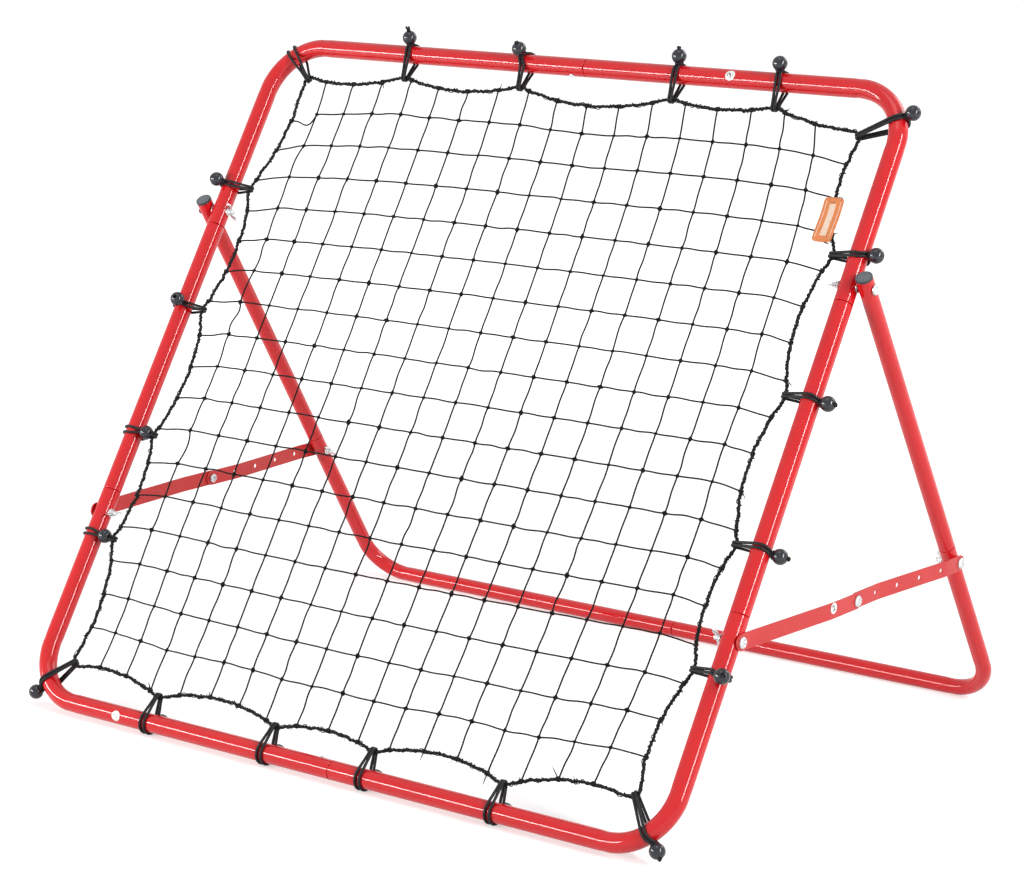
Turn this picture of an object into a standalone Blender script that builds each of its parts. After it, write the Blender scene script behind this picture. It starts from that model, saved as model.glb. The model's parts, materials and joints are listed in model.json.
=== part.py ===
"""Soccer rebounder: a leaning square tube frame that holds a rebound net, with a folding rear frame.

The front frame is modelled flat, in its own plane: X across, Y up the frame, Z out of the net towards
the player. The rear frame hangs from two pivot bolts, and a jointed flat-bar stay on each side sets how
far it opens. Lengths are in metres and angles in degrees unless a name says otherwise.
"""

import math

import bmesh
import bpy
import numpy as np
from mathutils import Matrix, Vector

# Front frame, measured between tube axes
FRONT_WIDTH = 0.976
FRONT_HEIGHT = 0.951
FRONT_TUBE_DIAMETER = 0.024
FRONT_BEND_RADIUS = 0.072
TUBE_WALL = 0.0012

# Rear frame
REAR_TUBE_DIAMETER = 0.021
REAR_BEND_RADIUS = 0.057
LEG_LENGTH = 0.682
LEG_ABOVE_PIVOT = 0.0145

# Where the tubes part, along the front side tubes, across the rails and down the legs
SEAM_BELOW_PIVOT = 0.022
SEAM_ABOVE_STAY_BOLT = 0.030
RAIL_SEAM_X = 0.018
REAR_SEAM_X = 0.022
LEG_SEAM_ABOVE_STAY = 0.026
SPIGOT_LENGTH = 0.048
SHOULDER_LENGTH = 0.002

# Pivots, up the side tubes from the bottom rail
PIVOT_HEIGHT = 0.697
STAY_BOLT_HEIGHT = 0.255

# Stays: the two bars of a side are equal, and straight in line when the frame is open
STAY_HOLE_DISTANCE = 0.236
STAY_WIDTH = 0.020
STAY_THICKNESS = 0.002
STAY_HOLE_DIAMETER = 0.0066
SPARE_HOLE_COUNT = 4
SPARE_HOLE_DIAMETER = 0.006
STAY_FLAT_AT_TUBE = 0.016
STAY_FLAT_AT_ELBOW = 0.056
STAY_FLAT_AT_LEG = 0.034
ELBOW_OUT = 0.0122

# Fasteners
BOLT_DIAMETER = 0.006
BOLT_HEAD_DIAMETER = 0.014
BOLT_HEAD_HEIGHT = 0.0036
BOLT_END_BEYOND_NUT = 0.004
BOLT_TIP_SHARE = 0.7
WING_NUT_DIAMETER = 0.011
WING_NUT_HEIGHT = 0.006
WING_SPAN = 0.027
WING_HEIGHT = 0.011
WING_THICKNESS = 0.002
ELBOW_NUT_DIAMETER = 0.011
ELBOW_NUT_HEIGHT = 0.004
PIVOT_WASHER_DIAMETER = 0.013
PIVOT_WASHER_THICKNESS = 0.0009
SCREW_DIAMETER = 0.004
SCREW_HEAD_DIAMETER = 0.007
SCREW_HEAD_HEIGHT = 0.002
SCREW_BEYOND_SEAM = 0.020

# Outlines, as shares of a height and of a radius or half span
BOLT_HEAD_OUTLINE = ((0.0, 1.0), (0.4, 1.0), (0.85, 0.68), (1.0, 0.3), (1.0, 0.0))
SCREW_HEAD_OUTLINE = ((0.0, 1.0), (0.5, 1.0), (1.0, 0.67), (1.0, 0.0))
WING_HUB_OUTLINE = ((0.0, 1.0), (0.6, 1.0), (1.0, 0.82))
WING_ROOT_OUTLINE = ((0.25, 0.9), (0.42, 1.35))
WING_TIP_OUTLINE = ((0.55, 1.0), (1.0, 0.97), (1.0, 0.66))
WING_THROAT_HEIGHT = 0.92
WING_BITE = 0.0006
ELBOW_NUT_OUTLINE = ((0.0, 1.0), (0.7, 1.0), (1.0, 0.75), (1.0, 0.0))
CAP_RIM_OUTLINE = ((0.67, 1.0), (1.0, 0.86), (1.0, 0.0))

# Leg caps
CAP_RIM_THICKNESS = 0.003
CAP_PLUG_DEPTH = 0.010

# Net, its border rope and the ball ties that stretch it
NET_CELLS = 17
STRAND_THICKNESS = 0.0016
ROPE_DIAMETER = 0.004
ROPE_TENSION_PER_STRAND = 7.0
ROPE_STRAIGHT_AT_TIE = 0.008
NET_INSET = 0.034
NET_SPANS = {"bottom": (-0.4441, 0.4256), "right": (0.0538, 0.8997),
             "top": (-0.4439, 0.4216), "left": (0.0547, 0.8854)}
TIE_BAND_WIDTH = 0.0056
TIE_BAND_THICKNESS = 0.0026
BALL_DIAMETER = 0.019
BALL_SINK = 0.0022

# Ties along each rail, as distances from the frame's middle or from the bottom rail, with the
# direction of the ball around the rail, where 0 is outwards, 90 is to the front and -90 is to the back,
# and how far the ball sits along the rail from its loop, anticlockwise round the frame
TOP_TIES = ((-0.265, 44, 0.003), (-0.0755, 66, 0.006), (0.1585, 36, 0.001), (0.3085, 38, 0.004))
BOTTOM_TIES = ((-0.2825, -117, 0.0), (-0.0885, -117, 0.0), (0.066, -117, 0.0), (0.2585, -117, 0.0))
LEFT_TIES = ((0.2246, 167, 0.0), (0.3685, 171, -0.002), (0.5538, 103, -0.0015), (0.7338, 66, 0.0))
RIGHT_TIES = ((0.213, 52, -0.005), (0.366, -15, -0.003), (0.5523, 2, -0.0023), (0.733, 5, 0.005))
# Corner ties: where the loop crosses the bend and which way it runs, in degrees from +X, how far in from
# the tube's axis it holds the rope, and the ball as above. A slanted loop is a little wider.
CORNER_TIES = (("bottom_left", 226, 227, 0.0412, 6, 0.002), ("bottom_right", -47, -51, 0.050, -1, 0.004),
               ("top_right", 25, 25, 0.0494, 16, 0.0025), ("top_left", 129, 137, 0.0465, -53, 0.0))
CORNER_BAND_EASE = 0.0005

# Tag on the border rope
TAG_WIDTH = 0.021
TAG_LENGTH = 0.058
TAG_THICKNESS = 0.0012
TAG_HEIGHT_ON_FRAME = 0.776
TAG_ROPE_INSET = 0.006

# Clearances between pieces
FIT_GAP = 0.0003
LOOP_GAP = 0.00035
STRAND_END_GAP = 0.0005

# Facets, and the angles that a band turns through to each side of the rail and of the rope
TUBE_SIDES = 12
BEND_STEPS = 6
ROUND_SIDES = 8
ROPE_SIDES = 5
LOOP_RAIL_POINTS = 8
LOOP_RAIL_REACH = 110
LOOP_FLATS_BEFORE_FLOOR = 2
LOOP_ROPE_POINTS = 3
LOOP_ROPE_REACH = 75
BALL_SEGMENTS = 8
BALL_RINGS = 6
BALL_TURN = 7
STAY_END_STEPS = 3
STAY_END_BLUNT = 12
HOLE_TURN = 0.13

# Colours
RED = (0.62, 0.018, 0.022)
ZINC = (0.72, 0.73, 0.74)
BLACK = (0.012, 0.012, 0.014)
BALL_BLACK = (0.018, 0.022, 0.03)
CAP_GREY = (0.16, 0.2, 0.2)
ORANGE = (0.8, 0.22, 0.05)

# Finishes: colour, roughness and, for metal, metallic
COATED = (RED, 0.3)
PLATED = (ZINC, 0.28, 1.0)
CORDED = (BLACK, 0.8)
MOULDED = (BALL_BLACK, 0.25)
CAPPED = (CAP_GREY, 0.55)
WOVEN = (ORANGE, 0.6)


def vertex_radius(radius, sides):
    """Radius of a polygon's corners, so that corners and flats lie evenly about a round of this radius."""
    return 2 * radius / (1 + math.cos(math.pi / sides))


def flat_radius(radius, sides):
    """Distance of the polygon's flats from its middle."""
    return vertex_radius(radius, sides) * math.cos(math.pi / sides)


def band_radius(held_radius, reach, points):
    """Radius of a band's corners that keeps its straight runs clear of the round that it goes over."""
    return (held_radius + LOOP_GAP) / math.cos(math.radians(reach / (points - 1)))


def rail_touch(distance, rail_radius, rope_radius):
    """Angle from outwards to where a band's straight run leaves the rail for the rope."""
    return math.pi - math.acos((rail_radius - rope_radius) / distance)


# Worked out sizes
FRONT_RADIUS = FRONT_TUBE_DIAMETER / 2
REAR_RADIUS = REAR_TUBE_DIAMETER / 2
HALF_WIDTH = FRONT_WIDTH / 2
LOOP_INNER = band_radius(vertex_radius(FRONT_RADIUS, TUBE_SIDES), LOOP_RAIL_REACH, LOOP_RAIL_POINTS)
LOOP_ROPE_INNER = band_radius(vertex_radius(ROPE_DIAMETER / 2, ROPE_SIDES), LOOP_ROPE_REACH, LOOP_ROPE_POINTS)
LOOP_STEP = 2 * rail_touch(NET_INSET, LOOP_INNER, LOOP_ROPE_INNER) / (LOOP_RAIL_POINTS - 1)
RAIL_HEIGHT = (LOOP_INNER + TIE_BAND_THICKNESS) * math.cos(LOOP_STEP / 2)
REAR_BAR_HEIGHT = flat_radius(REAR_RADIUS, TUBE_SIDES)
PIVOT_TO_STAY = PIVOT_HEIGHT - STAY_BOLT_HEIGHT
SIDE_SEAM_HIGH = PIVOT_HEIGHT - SEAM_BELOW_PIVOT
SIDE_SEAM_LOW = STAY_BOLT_HEIGHT + SEAM_ABOVE_STAY_BOLT
LEG_OUT = (vertex_radius(FRONT_RADIUS, TUBE_SIDES) + vertex_radius(REAR_RADIUS, TUBE_SIDES)
           + PIVOT_WASHER_THICKNESS + 2 * FIT_GAP)
LEG_X = HALF_WIDTH + LEG_OUT
OPEN_ANGLE = 2 * math.asin(STAY_HOLE_DISTANCE / PIVOT_TO_STAY)
BOLT_RADIUS = BOLT_DIAMETER / 2
BORE_RADIUS = BOLT_RADIUS + FIT_GAP


def front_lean():
    """Angle of the front frame from the floor, in radians, with both frames standing on it."""
    across = PIVOT_HEIGHT - LEG_LENGTH * math.cos(OPEN_ANGLE)
    along = LEG_LENGTH * math.sin(OPEN_ANGLE)
    lift = RAIL_HEIGHT - REAR_BAR_HEIGHT
    return math.atan2(along, across) - math.asin(lift / math.hypot(across, along))


LEAN = front_lean()
LEG_SLOPE = math.pi - OPEN_ANGLE - LEAN
# Turn of the right-hand tubes' facets about the tube that lays one facet on the floor
FRONT_FACET_TURN = math.pi / 2 - LEAN
REAR_FACET_TURN = LEG_SLOPE - math.pi / 2


def material(name, color, roughness, metallic=0.0):
    """A plain Principled material."""
    made = bpy.data.materials.new(name)
    made.use_nodes = True
    shader = made.node_tree.nodes["Principled BSDF"]
    shader.inputs["Base Color"].default_value = (*color, 1.0)
    shader.inputs["Roughness"].default_value = roughness
    shader.inputs["Metallic"].default_value = metallic
    return made


def empty(name, location, rotation_x=0.0, parent=None):
    """An axis that pieces hang on."""
    made = bpy.data.objects.new(name, None)
    made.empty_display_size = 0.05
    made.location = location
    made.rotation_euler = (rotation_x, 0.0, 0.0)
    made.parent = parent
    bpy.context.scene.collection.objects.link(made)
    return made


def add_object(name, bm, parent, finish, location=(0, 0, 0), smooth_angle=40):
    """Turn a bmesh into a named object with outward faces."""
    bmesh.ops.remove_doubles(bm, verts=bm.verts, dist=1e-6)
    bmesh.ops.recalc_face_normals(bm, faces=bm.faces)
    mesh = bpy.data.meshes.new(name)
    bm.to_mesh(mesh)
    bm.free()
    mesh.shade_smooth()
    mesh.set_sharp_from_angle(angle=math.radians(smooth_angle))
    made = bpy.data.objects.new(name, mesh)
    made.location = location
    made.parent = parent
    if finish is not None:
        mesh.materials.append(material(name + "_finish", *finish))
    bpy.context.scene.collection.objects.link(made)
    return made


def outlined(shares, start, height, radius):
    """(distance, radius) points of an outline given as shares of a height and of a radius."""
    return [(start + rise * height, width * radius) for rise, width in shares]


def ring_of_faces(bm, first, second):
    """Quads between two closed rings of corners."""
    count = len(first)
    for index in range(count):
        following = (index + 1) % count
        bm.faces.new((first[index], first[following], second[following], second[index]))


def turned(profile, sides, phase=0.0):
    """A solid turned about X from (x, radius) points; a radius of zero closes an end."""
    bm = bmesh.new()
    rings = []
    for x, radius in profile:
        if radius == 0:
            rings.append([bm.verts.new((x, 0, 0))])
            continue
        corners = []
        for index in range(sides):
            angle = phase + 2 * math.pi * (index + 0.5) / sides
            corners.append(bm.verts.new((x, radius * math.cos(angle), radius * math.sin(angle))))
        rings.append(corners)
    for first, second in zip(rings, rings[1:]):
        if len(first) == 1 or len(second) == 1:
            tip, ring = (first[0], second) if len(first) == 1 else (second[0], first)
            for index in range(sides):
                bm.faces.new((tip, ring[index], ring[(index + 1) % sides]))
        else:
            ring_of_faces(bm, first, second)
    return bm


def turned_ring(profile, sides, phase=0.0):
    """A ring turned about X from a closed loop of (x, radius) points."""
    bm = bmesh.new()
    rings = []
    for x, radius in profile:
        corners = []
        for index in range(sides):
            angle = phase + 2 * math.pi * (index + 0.5) / sides
            corners.append(bm.verts.new((x, radius * math.cos(angle), radius * math.sin(angle))))
        rings.append(corners)
    for first, second in zip(rings, rings[1:] + rings[:1]):
        ring_of_faces(bm, first, second)
    return bm


def box(low, high):
    """A closed box between two corners."""
    bm = bmesh.new()
    bmesh.ops.create_cube(bm, size=1.0)
    for vert in bm.verts:
        for axis in range(3):
            vert.co[axis] = high[axis] if vert.co[axis] > 0 else low[axis]
    return bm


def cutter(name, bm, parent, location=(0, 0, 0)):
    """A hidden tool solid for a Boolean."""
    made = add_object(name, bm, parent, None, location)
    made.hide_render = True
    made.display_type = "WIRE"
    return made


def combine(target, tool, operation="DIFFERENCE"):
    """Cut the tool out of the target, or join it on."""
    change = target.modifiers.new(operation.lower(), "BOOLEAN")
    change.operation = operation
    change.object = tool
    change.solver = "EXACT"


def drill_x(target, name, parent, point, radius, half_length, sides=ROUND_SIDES):
    """Drill a hole along X through a piece; the turn keeps its corners off the piece's own edges."""
    span = [(-half_length, 0), (-half_length, radius), (half_length, radius), (half_length, 0)]
    combine(target, cutter(name, turned(span, sides, HOLE_TURN), parent, point))


def tube(stations, sides, phase):
    """A hollow tube in the XY plane; each station is a point, a direction, an outer and an inner radius.

    The corners of a ring lie at point + radius * (cos(angle) * side + sin(angle) * Z), where side is
    the direction turned a quarter clockwise. A facet faces the way of each angle phase + n * 360 / sides.
    """
    bm = bmesh.new()
    shells = ([], [])
    for point, direction, outer, inner in stations:
        side = Vector((direction[1], -direction[0], 0.0))
        centre = Vector((point[0], point[1], 0.0))
        for shell, radius in zip(shells, (outer, inner)):
            corner_radius = vertex_radius(radius, sides)
            corners = []
            for index in range(sides):
                angle = phase + 2 * math.pi * (index + 0.5) / sides
                offset = side * math.cos(angle) + Vector((0, 0, math.sin(angle)))
                corners.append(bm.verts.new(centre + offset * corner_radius))
            shell.append(corners)
    for shell in shells:
        for first, second in zip(shell, shell[1:]):
            ring_of_faces(bm, first, second)
    for end in (0, -1):
        ring_of_faces(bm, shells[0][end], shells[1][end])
    return bm


def spigot_radii(radius):
    """Outer and inner radius of a tube's drawn-in end, which slides into its neighbour."""
    return radius - TUBE_WALL - FIT_GAP, radius - 2 * TUBE_WALL - FIT_GAP


def spigot(point, direction, radius):
    """Stations from a shoulder at the seam to the tip of the drawn-in end."""
    point = Vector(point)
    direction = Vector(direction)
    thin = spigot_radii(radius)
    return [
        (point - direction * SHOULDER_LENGTH, direction, radius, radius - TUBE_WALL),
        (point, direction, *thin),
        (point + direction * SPIGOT_LENGTH, direction, *thin),
    ]


def bend(centre, radius, start, turn, tube_radius):
    """Stations round a quarter bend; start and turn are angles in radians."""
    stations = []
    sense = math.copysign(1.0, turn)
    for step in range(BEND_STEPS + 1):
        angle = start + turn * step / BEND_STEPS
        point = (centre[0] + radius * math.cos(angle), centre[1] + radius * math.sin(angle))
        direction = (-math.sin(angle) * sense, math.cos(angle) * sense)
        stations.append((point, direction, tube_radius, tube_radius - TUBE_WALL))
    return stations


def corner_tube(half_width, end_y, bend_radius, side_end_y, seam_x, side, tube_radius, phase, male):
    """A bent tube from the seam on a side, round the corner, to the seam on a rail."""
    upwards = math.copysign(1.0, end_y - side_end_y)
    wall_inner = tube_radius - TUBE_WALL
    centre = (side * (half_width - bend_radius), end_y - upwards * bend_radius)
    start = 0.0 if side > 0 else math.pi
    turn = side * upwards * math.pi / 2
    stations = [((side * half_width, side_end_y + upwards * FIT_GAP), (0, upwards), tube_radius, wall_inner)]
    stations += bend(centre, bend_radius, start, turn, tube_radius)
    direction = (-side, 0.0, 0.0)
    if male:
        stations += spigot((seam_x, end_y, 0.0), direction, tube_radius)
    else:
        stations.append(((seam_x - FIT_GAP, end_y), direction, tube_radius, wall_inner))
    return tube(stations, TUBE_SIDES, phase)


def front_tubes(frame):
    """Four corner tubes and two straight side tubes."""
    made = {}
    for side, side_name in ((-1, "left"), (1, "right")):
        for level, end_y, seam_y in (("bottom", 0.0, SIDE_SEAM_LOW), ("top", FRONT_HEIGHT, SIDE_SEAM_HIGH)):
            name = f"front_tube_{level}_{side_name}"
            facet_turn = side * FRONT_FACET_TURN * (1 if level == "bottom" else -1)
            bm = corner_tube(HALF_WIDTH, end_y, FRONT_BEND_RADIUS, seam_y, RAIL_SEAM_X, side,
                             FRONT_RADIUS, facet_turn, male=side > 0)
            made[name] = add_object(name, bm, frame, COATED)
        name = f"front_tube_side_{side_name}"
        x = side * HALF_WIDTH
        low = spigot((x, SIDE_SEAM_LOW, 0.0), (0.0, -1.0, 0.0), FRONT_RADIUS)
        high = spigot((x, SIDE_SEAM_HIGH, 0.0), (0.0, 1.0, 0.0), FRONT_RADIUS)
        stations = [(point, -direction, outer, inner) for point, direction, outer, inner in reversed(low)]
        bm = tube(stations + high, TUBE_SIDES, -side * FRONT_FACET_TURN)
        made[name] = add_object(name, bm, frame, COATED)
    return made


def drill_front_tubes(tubes, frame):
    """Bores for the pivot bolts, the stay bolts and the two rail screws."""
    for side, side_name in ((-1, "left"), (1, "right")):
        x = side * HALF_WIDTH
        for level, height in (("top", PIVOT_HEIGHT), ("bottom", STAY_BOLT_HEIGHT)):
            for part in (f"front_tube_{level}_{side_name}", f"front_tube_side_{side_name}"):
                drill_x(tubes[part], f"bore_{level}_{part}", frame, (x, height, 0.0), BORE_RADIUS,
                        FRONT_TUBE_DIAMETER)
    screw_x = RAIL_SEAM_X - SCREW_BEYOND_SEAM
    for level, y, inward in (("top", FRONT_HEIGHT, -1), ("bottom", 0.0, 1)):
        depth = FRONT_TUBE_DIAMETER
        span = [(0, 0), (0, SCREW_DIAMETER / 2 + FIT_GAP), (depth, SCREW_DIAMETER / 2 + FIT_GAP), (depth, 0)]
        for part in (f"front_tube_{level}_left", f"front_tube_{level}_right"):
            hole = turned(span, ROUND_SIDES)
            bmesh.ops.rotate(hole, verts=hole.verts, matrix=Matrix.Rotation(inward * math.pi / 2, 3, "Z"))
            combine(tubes[part], cutter(f"screw_hole_{part}", hole, frame, (screw_x, y, 0.0)))


def rail_screws(frame):
    """One small pan-head screw on the inner side of each rail holds its spigot."""
    seat = vertex_radius(FRONT_RADIUS, TUBE_SIDES) + FIT_GAP
    tip = spigot_radii(FRONT_RADIUS)[1] - FIT_GAP
    profile = [(tip, 0), (tip, SCREW_DIAMETER / 2), (seat, SCREW_DIAMETER / 2)]
    profile += outlined(SCREW_HEAD_OUTLINE, seat, SCREW_HEAD_HEIGHT, SCREW_HEAD_DIAMETER / 2)
    screw_x = RAIL_SEAM_X - SCREW_BEYOND_SEAM
    for level, y, inward in (("top", FRONT_HEIGHT, -1), ("bottom", 0.0, 1)):
        bm = turned(profile, ROUND_SIDES)
        bmesh.ops.rotate(bm, verts=bm.verts, matrix=Matrix.Rotation(inward * math.pi / 2, 3, "Z"))
        add_object(f"rail_screw_{level}", bm, frame, PLATED, (screw_x, y, 0.0))


def rear_tubes(frame):
    """Two straight legs and two bent tubes that meet in the middle of the rear bar."""
    seam = PIVOT_TO_STAY - LEG_SEAM_ABOVE_STAY
    for side, side_name in ((-1, "left"), (1, "right")):
        x = side * LEG_X
        facet_turn = side * REAR_FACET_TURN
        stations = [((x, -LEG_ABOVE_PIVOT), (0.0, 1.0), REAR_RADIUS, REAR_RADIUS - TUBE_WALL)]
        stations += spigot((x, seam, 0.0), (0.0, 1.0, 0.0), REAR_RADIUS)
        leg = add_object(f"rear_leg_{side_name}", tube(stations, TUBE_SIDES, facet_turn), frame, COATED)
        bm = corner_tube(LEG_X, LEG_LENGTH, REAR_BEND_RADIUS, seam, REAR_SEAM_X, side, REAR_RADIUS,
                         facet_turn, male=side > 0)
        corner = add_object(f"rear_corner_{side_name}", bm, frame, COATED)
        drill_x(leg, f"bore_pivot_{side_name}", frame, (x, 0.0, 0.0), BORE_RADIUS, REAR_TUBE_DIAMETER)
        for part in (leg, corner):
            drill_x(part, f"bore_stay_{part.name}", frame, (x, PIVOT_TO_STAY, 0.0), BORE_RADIUS,
                    REAR_TUBE_DIAMETER)
        leg_cap(side_name, x, facet_turn, frame)


def leg_cap(side_name, x, facet_turn, frame):
    """A plug with a domed rim in the open end above the pivot."""
    plug = vertex_radius(REAR_RADIUS - TUBE_WALL, TUBE_SIDES) - FIT_GAP
    rim = vertex_radius(REAR_RADIUS, TUBE_SIDES)
    profile = [(-CAP_PLUG_DEPTH, 0), (-CAP_PLUG_DEPTH, plug), (FIT_GAP, plug), (FIT_GAP, rim)]
    profile += outlined(CAP_RIM_OUTLINE, FIT_GAP, CAP_RIM_THICKNESS, rim)
    bm = turned(profile, TUBE_SIDES, facet_turn)
    bmesh.ops.rotate(bm, verts=bm.verts, matrix=Matrix.Rotation(-math.pi / 2, 3, "Z"))
    add_object(f"leg_cap_{side_name}", bm, frame, CAPPED, (x, -LEG_ABOVE_PIVOT, 0.0))


def stay_bar(name, parent, side, base_x, rise, flat_start, flat_end, holes):
    """A flat bar along local Y with round ends, sloped in X between its two flats."""
    half = STAY_WIDTH / 2
    length = STAY_HOLE_DISTANCE
    stations = []
    blunt = math.radians(STAY_END_BLUNT)
    for step in range(STAY_END_STEPS + 1):
        angle = blunt + (math.pi / 2 - blunt) * step / STAY_END_STEPS
        stations.append((-half * math.cos(angle), half * math.sin(angle)))
    slope_end = length - flat_end
    stations += [(flat_start, half), (slope_end, half)]
    for along, width in reversed(stations[:STAY_END_STEPS + 1]):
        stations.append((length - along, width))
    bm = bmesh.new()
    previous = None
    for along, width in stations:
        share = (along - flat_start) / (slope_end - flat_start)
        inner = base_x + rise * min(max(share, 0.0), 1.0)
        corners = []
        for x, z in ((inner, -width), (inner + STAY_THICKNESS, -width),
                     (inner + STAY_THICKNESS, width), (inner, width)):
            corners.append(bm.verts.new((side * x, along, z)))
        if previous is None:
            bm.faces.new(corners)
        else:
            ring_of_faces(bm, previous, corners)
        previous = corners
    bm.faces.new(previous)
    bar = add_object(name, bm, parent, COATED, smooth_angle=30)
    for index, (along, diameter) in enumerate(holes):
        drill_x(bar, f"{name}_hole_{index}", parent, (side * (base_x + rise / 2), along, 0.0), diameter / 2,
                abs(rise) + 2 * STAY_THICKNESS)
    return bar


def stay_places():
    """X of the inner faces of the bars: front bar at the tube, both at the elbow, rear bar at the leg."""
    front_at_tube = HALF_WIDTH + vertex_radius(FRONT_RADIUS, TUBE_SIDES) + FIT_GAP
    rear_at_elbow = front_at_tube + ELBOW_OUT - STAY_THICKNESS - FIT_GAP
    front_at_elbow = front_at_tube + ELBOW_OUT
    rear_at_leg = LEG_X + vertex_radius(REAR_RADIUS, TUBE_SIDES) + FIT_GAP
    return front_at_tube, front_at_elbow, rear_at_elbow, rear_at_leg


def stays(front_axes, rear_axes):
    """Front bars turn on the side tubes and rear bars on the legs; they meet at the elbow."""
    front_at_tube, front_at_elbow, rear_at_elbow, rear_at_leg = stay_places()
    pitch = STAY_HOLE_DISTANCE / (SPARE_HOLE_COUNT + 1)
    ends = [(0.0, STAY_HOLE_DIAMETER), (STAY_HOLE_DISTANCE, STAY_HOLE_DIAMETER)]
    spare = [(pitch * (index + 1), SPARE_HOLE_DIAMETER) for index in range(SPARE_HOLE_COUNT)]
    for side, side_name in ((-1, "left"), (1, "right")):
        stay_bar(f"stay_front_bar_{side_name}", front_axes[side], side, front_at_tube,
                 front_at_elbow - front_at_tube, STAY_FLAT_AT_TUBE, STAY_FLAT_AT_ELBOW, ends)
        stay_bar(f"stay_rear_bar_{side_name}", rear_axes[side], side, rear_at_leg,
                 rear_at_elbow - rear_at_leg, STAY_FLAT_AT_LEG, STAY_FLAT_AT_ELBOW, ends + spare)


def bolt_profile(seat, tip):
    """Dome head outside seat, and a shank in to tip, as distances along X."""
    blunt = BOLT_RADIUS * BOLT_TIP_SHARE
    shank = [(tip, 0), (tip, blunt), (tip + BOLT_RADIUS - blunt, BOLT_RADIUS), (seat, BOLT_RADIUS)]
    return shank + outlined(BOLT_HEAD_OUTLINE, seat, BOLT_HEAD_HEIGHT, BOLT_HEAD_DIAMETER / 2)


def mirrored(profile, side):
    """The profile along +X or -X."""
    return [(side * x, radius) for x, radius in profile]


def add_bolt(name, parent, side, y, seat, tip):
    """A bolt along X whose head lies outboard; seat and tip are distances from the middle."""
    bm = turned(mirrored(bolt_profile(0.0, tip - seat), side), ROUND_SIDES)
    add_object(name, bm, parent, PLATED, (side * seat, y, 0.0))


def add_wing_nut(name, parent, side, y, seat):
    """A wing nut whose base faces outboard, at seat; its two ears stand out of the hub."""
    outer = WING_NUT_DIAMETER / 2
    inner = BORE_RADIUS + WING_BITE
    ring = [(0, BORE_RADIUS), (-WING_NUT_HEIGHT, BORE_RADIUS)]
    ring[1:1] = outlined(WING_HUB_OUTLINE, 0, -WING_NUT_HEIGHT, outer)
    hub = turned_ring(mirrored(ring, side), ROUND_SIDES)
    nut = add_object(name, hub, parent, PLATED, (side * seat, y, 0.0))
    half = WING_THICKNESS / 2
    for ear in (-1, 1):
        outline = outlined(WING_ROOT_OUTLINE, 0, -WING_NUT_HEIGHT, ear * outer)
        outline += outlined(WING_TIP_OUTLINE, 0, -WING_HEIGHT, ear * WING_SPAN / 2)
        outline += [(-WING_NUT_HEIGHT * WING_THROAT_HEIGHT, ear * inner), (outline[0][0], ear * inner)]
        bm = bmesh.new()
        faces = []
        for z in (-half, half):
            faces.append(bm.faces.new([bm.verts.new((side * x, across, z)) for x, across in outline]))
        ring_of_faces(bm, list(faces[0].verts), list(faces[1].verts))
        combine(nut, cutter(f"{name}_ear_{ear + 1}", bm, parent, (side * seat, y, 0.0)), "UNION")


def pivot_hardware(front):
    """Pivot bolt, washer and wing nut on each side."""
    inboard = HALF_WIDTH - vertex_radius(FRONT_RADIUS, TUBE_SIDES) - FIT_GAP
    outboard = LEG_X + vertex_radius(REAR_RADIUS, TUBE_SIDES) + FIT_GAP
    washer_low = HALF_WIDTH + vertex_radius(FRONT_RADIUS, TUBE_SIDES) + FIT_GAP
    washer = [(0, BORE_RADIUS), (0, PIVOT_WASHER_DIAMETER / 2),
              (PIVOT_WASHER_THICKNESS, PIVOT_WASHER_DIAMETER / 2), (PIVOT_WASHER_THICKNESS, BORE_RADIUS)]
    for side, side_name in ((-1, "left"), (1, "right")):
        tip = inboard - WING_NUT_HEIGHT - BOLT_END_BEYOND_NUT
        add_bolt(f"pivot_bolt_{side_name}", front, side, PIVOT_HEIGHT, outboard, tip)
        add_wing_nut(f"pivot_wing_nut_{side_name}", front, side, PIVOT_HEIGHT, inboard)
        add_object(f"pivot_washer_{side_name}", turned_ring(mirrored(washer, side), ROUND_SIDES), front,
                   PLATED, (side * washer_low, PIVOT_HEIGHT, 0.0))


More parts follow.
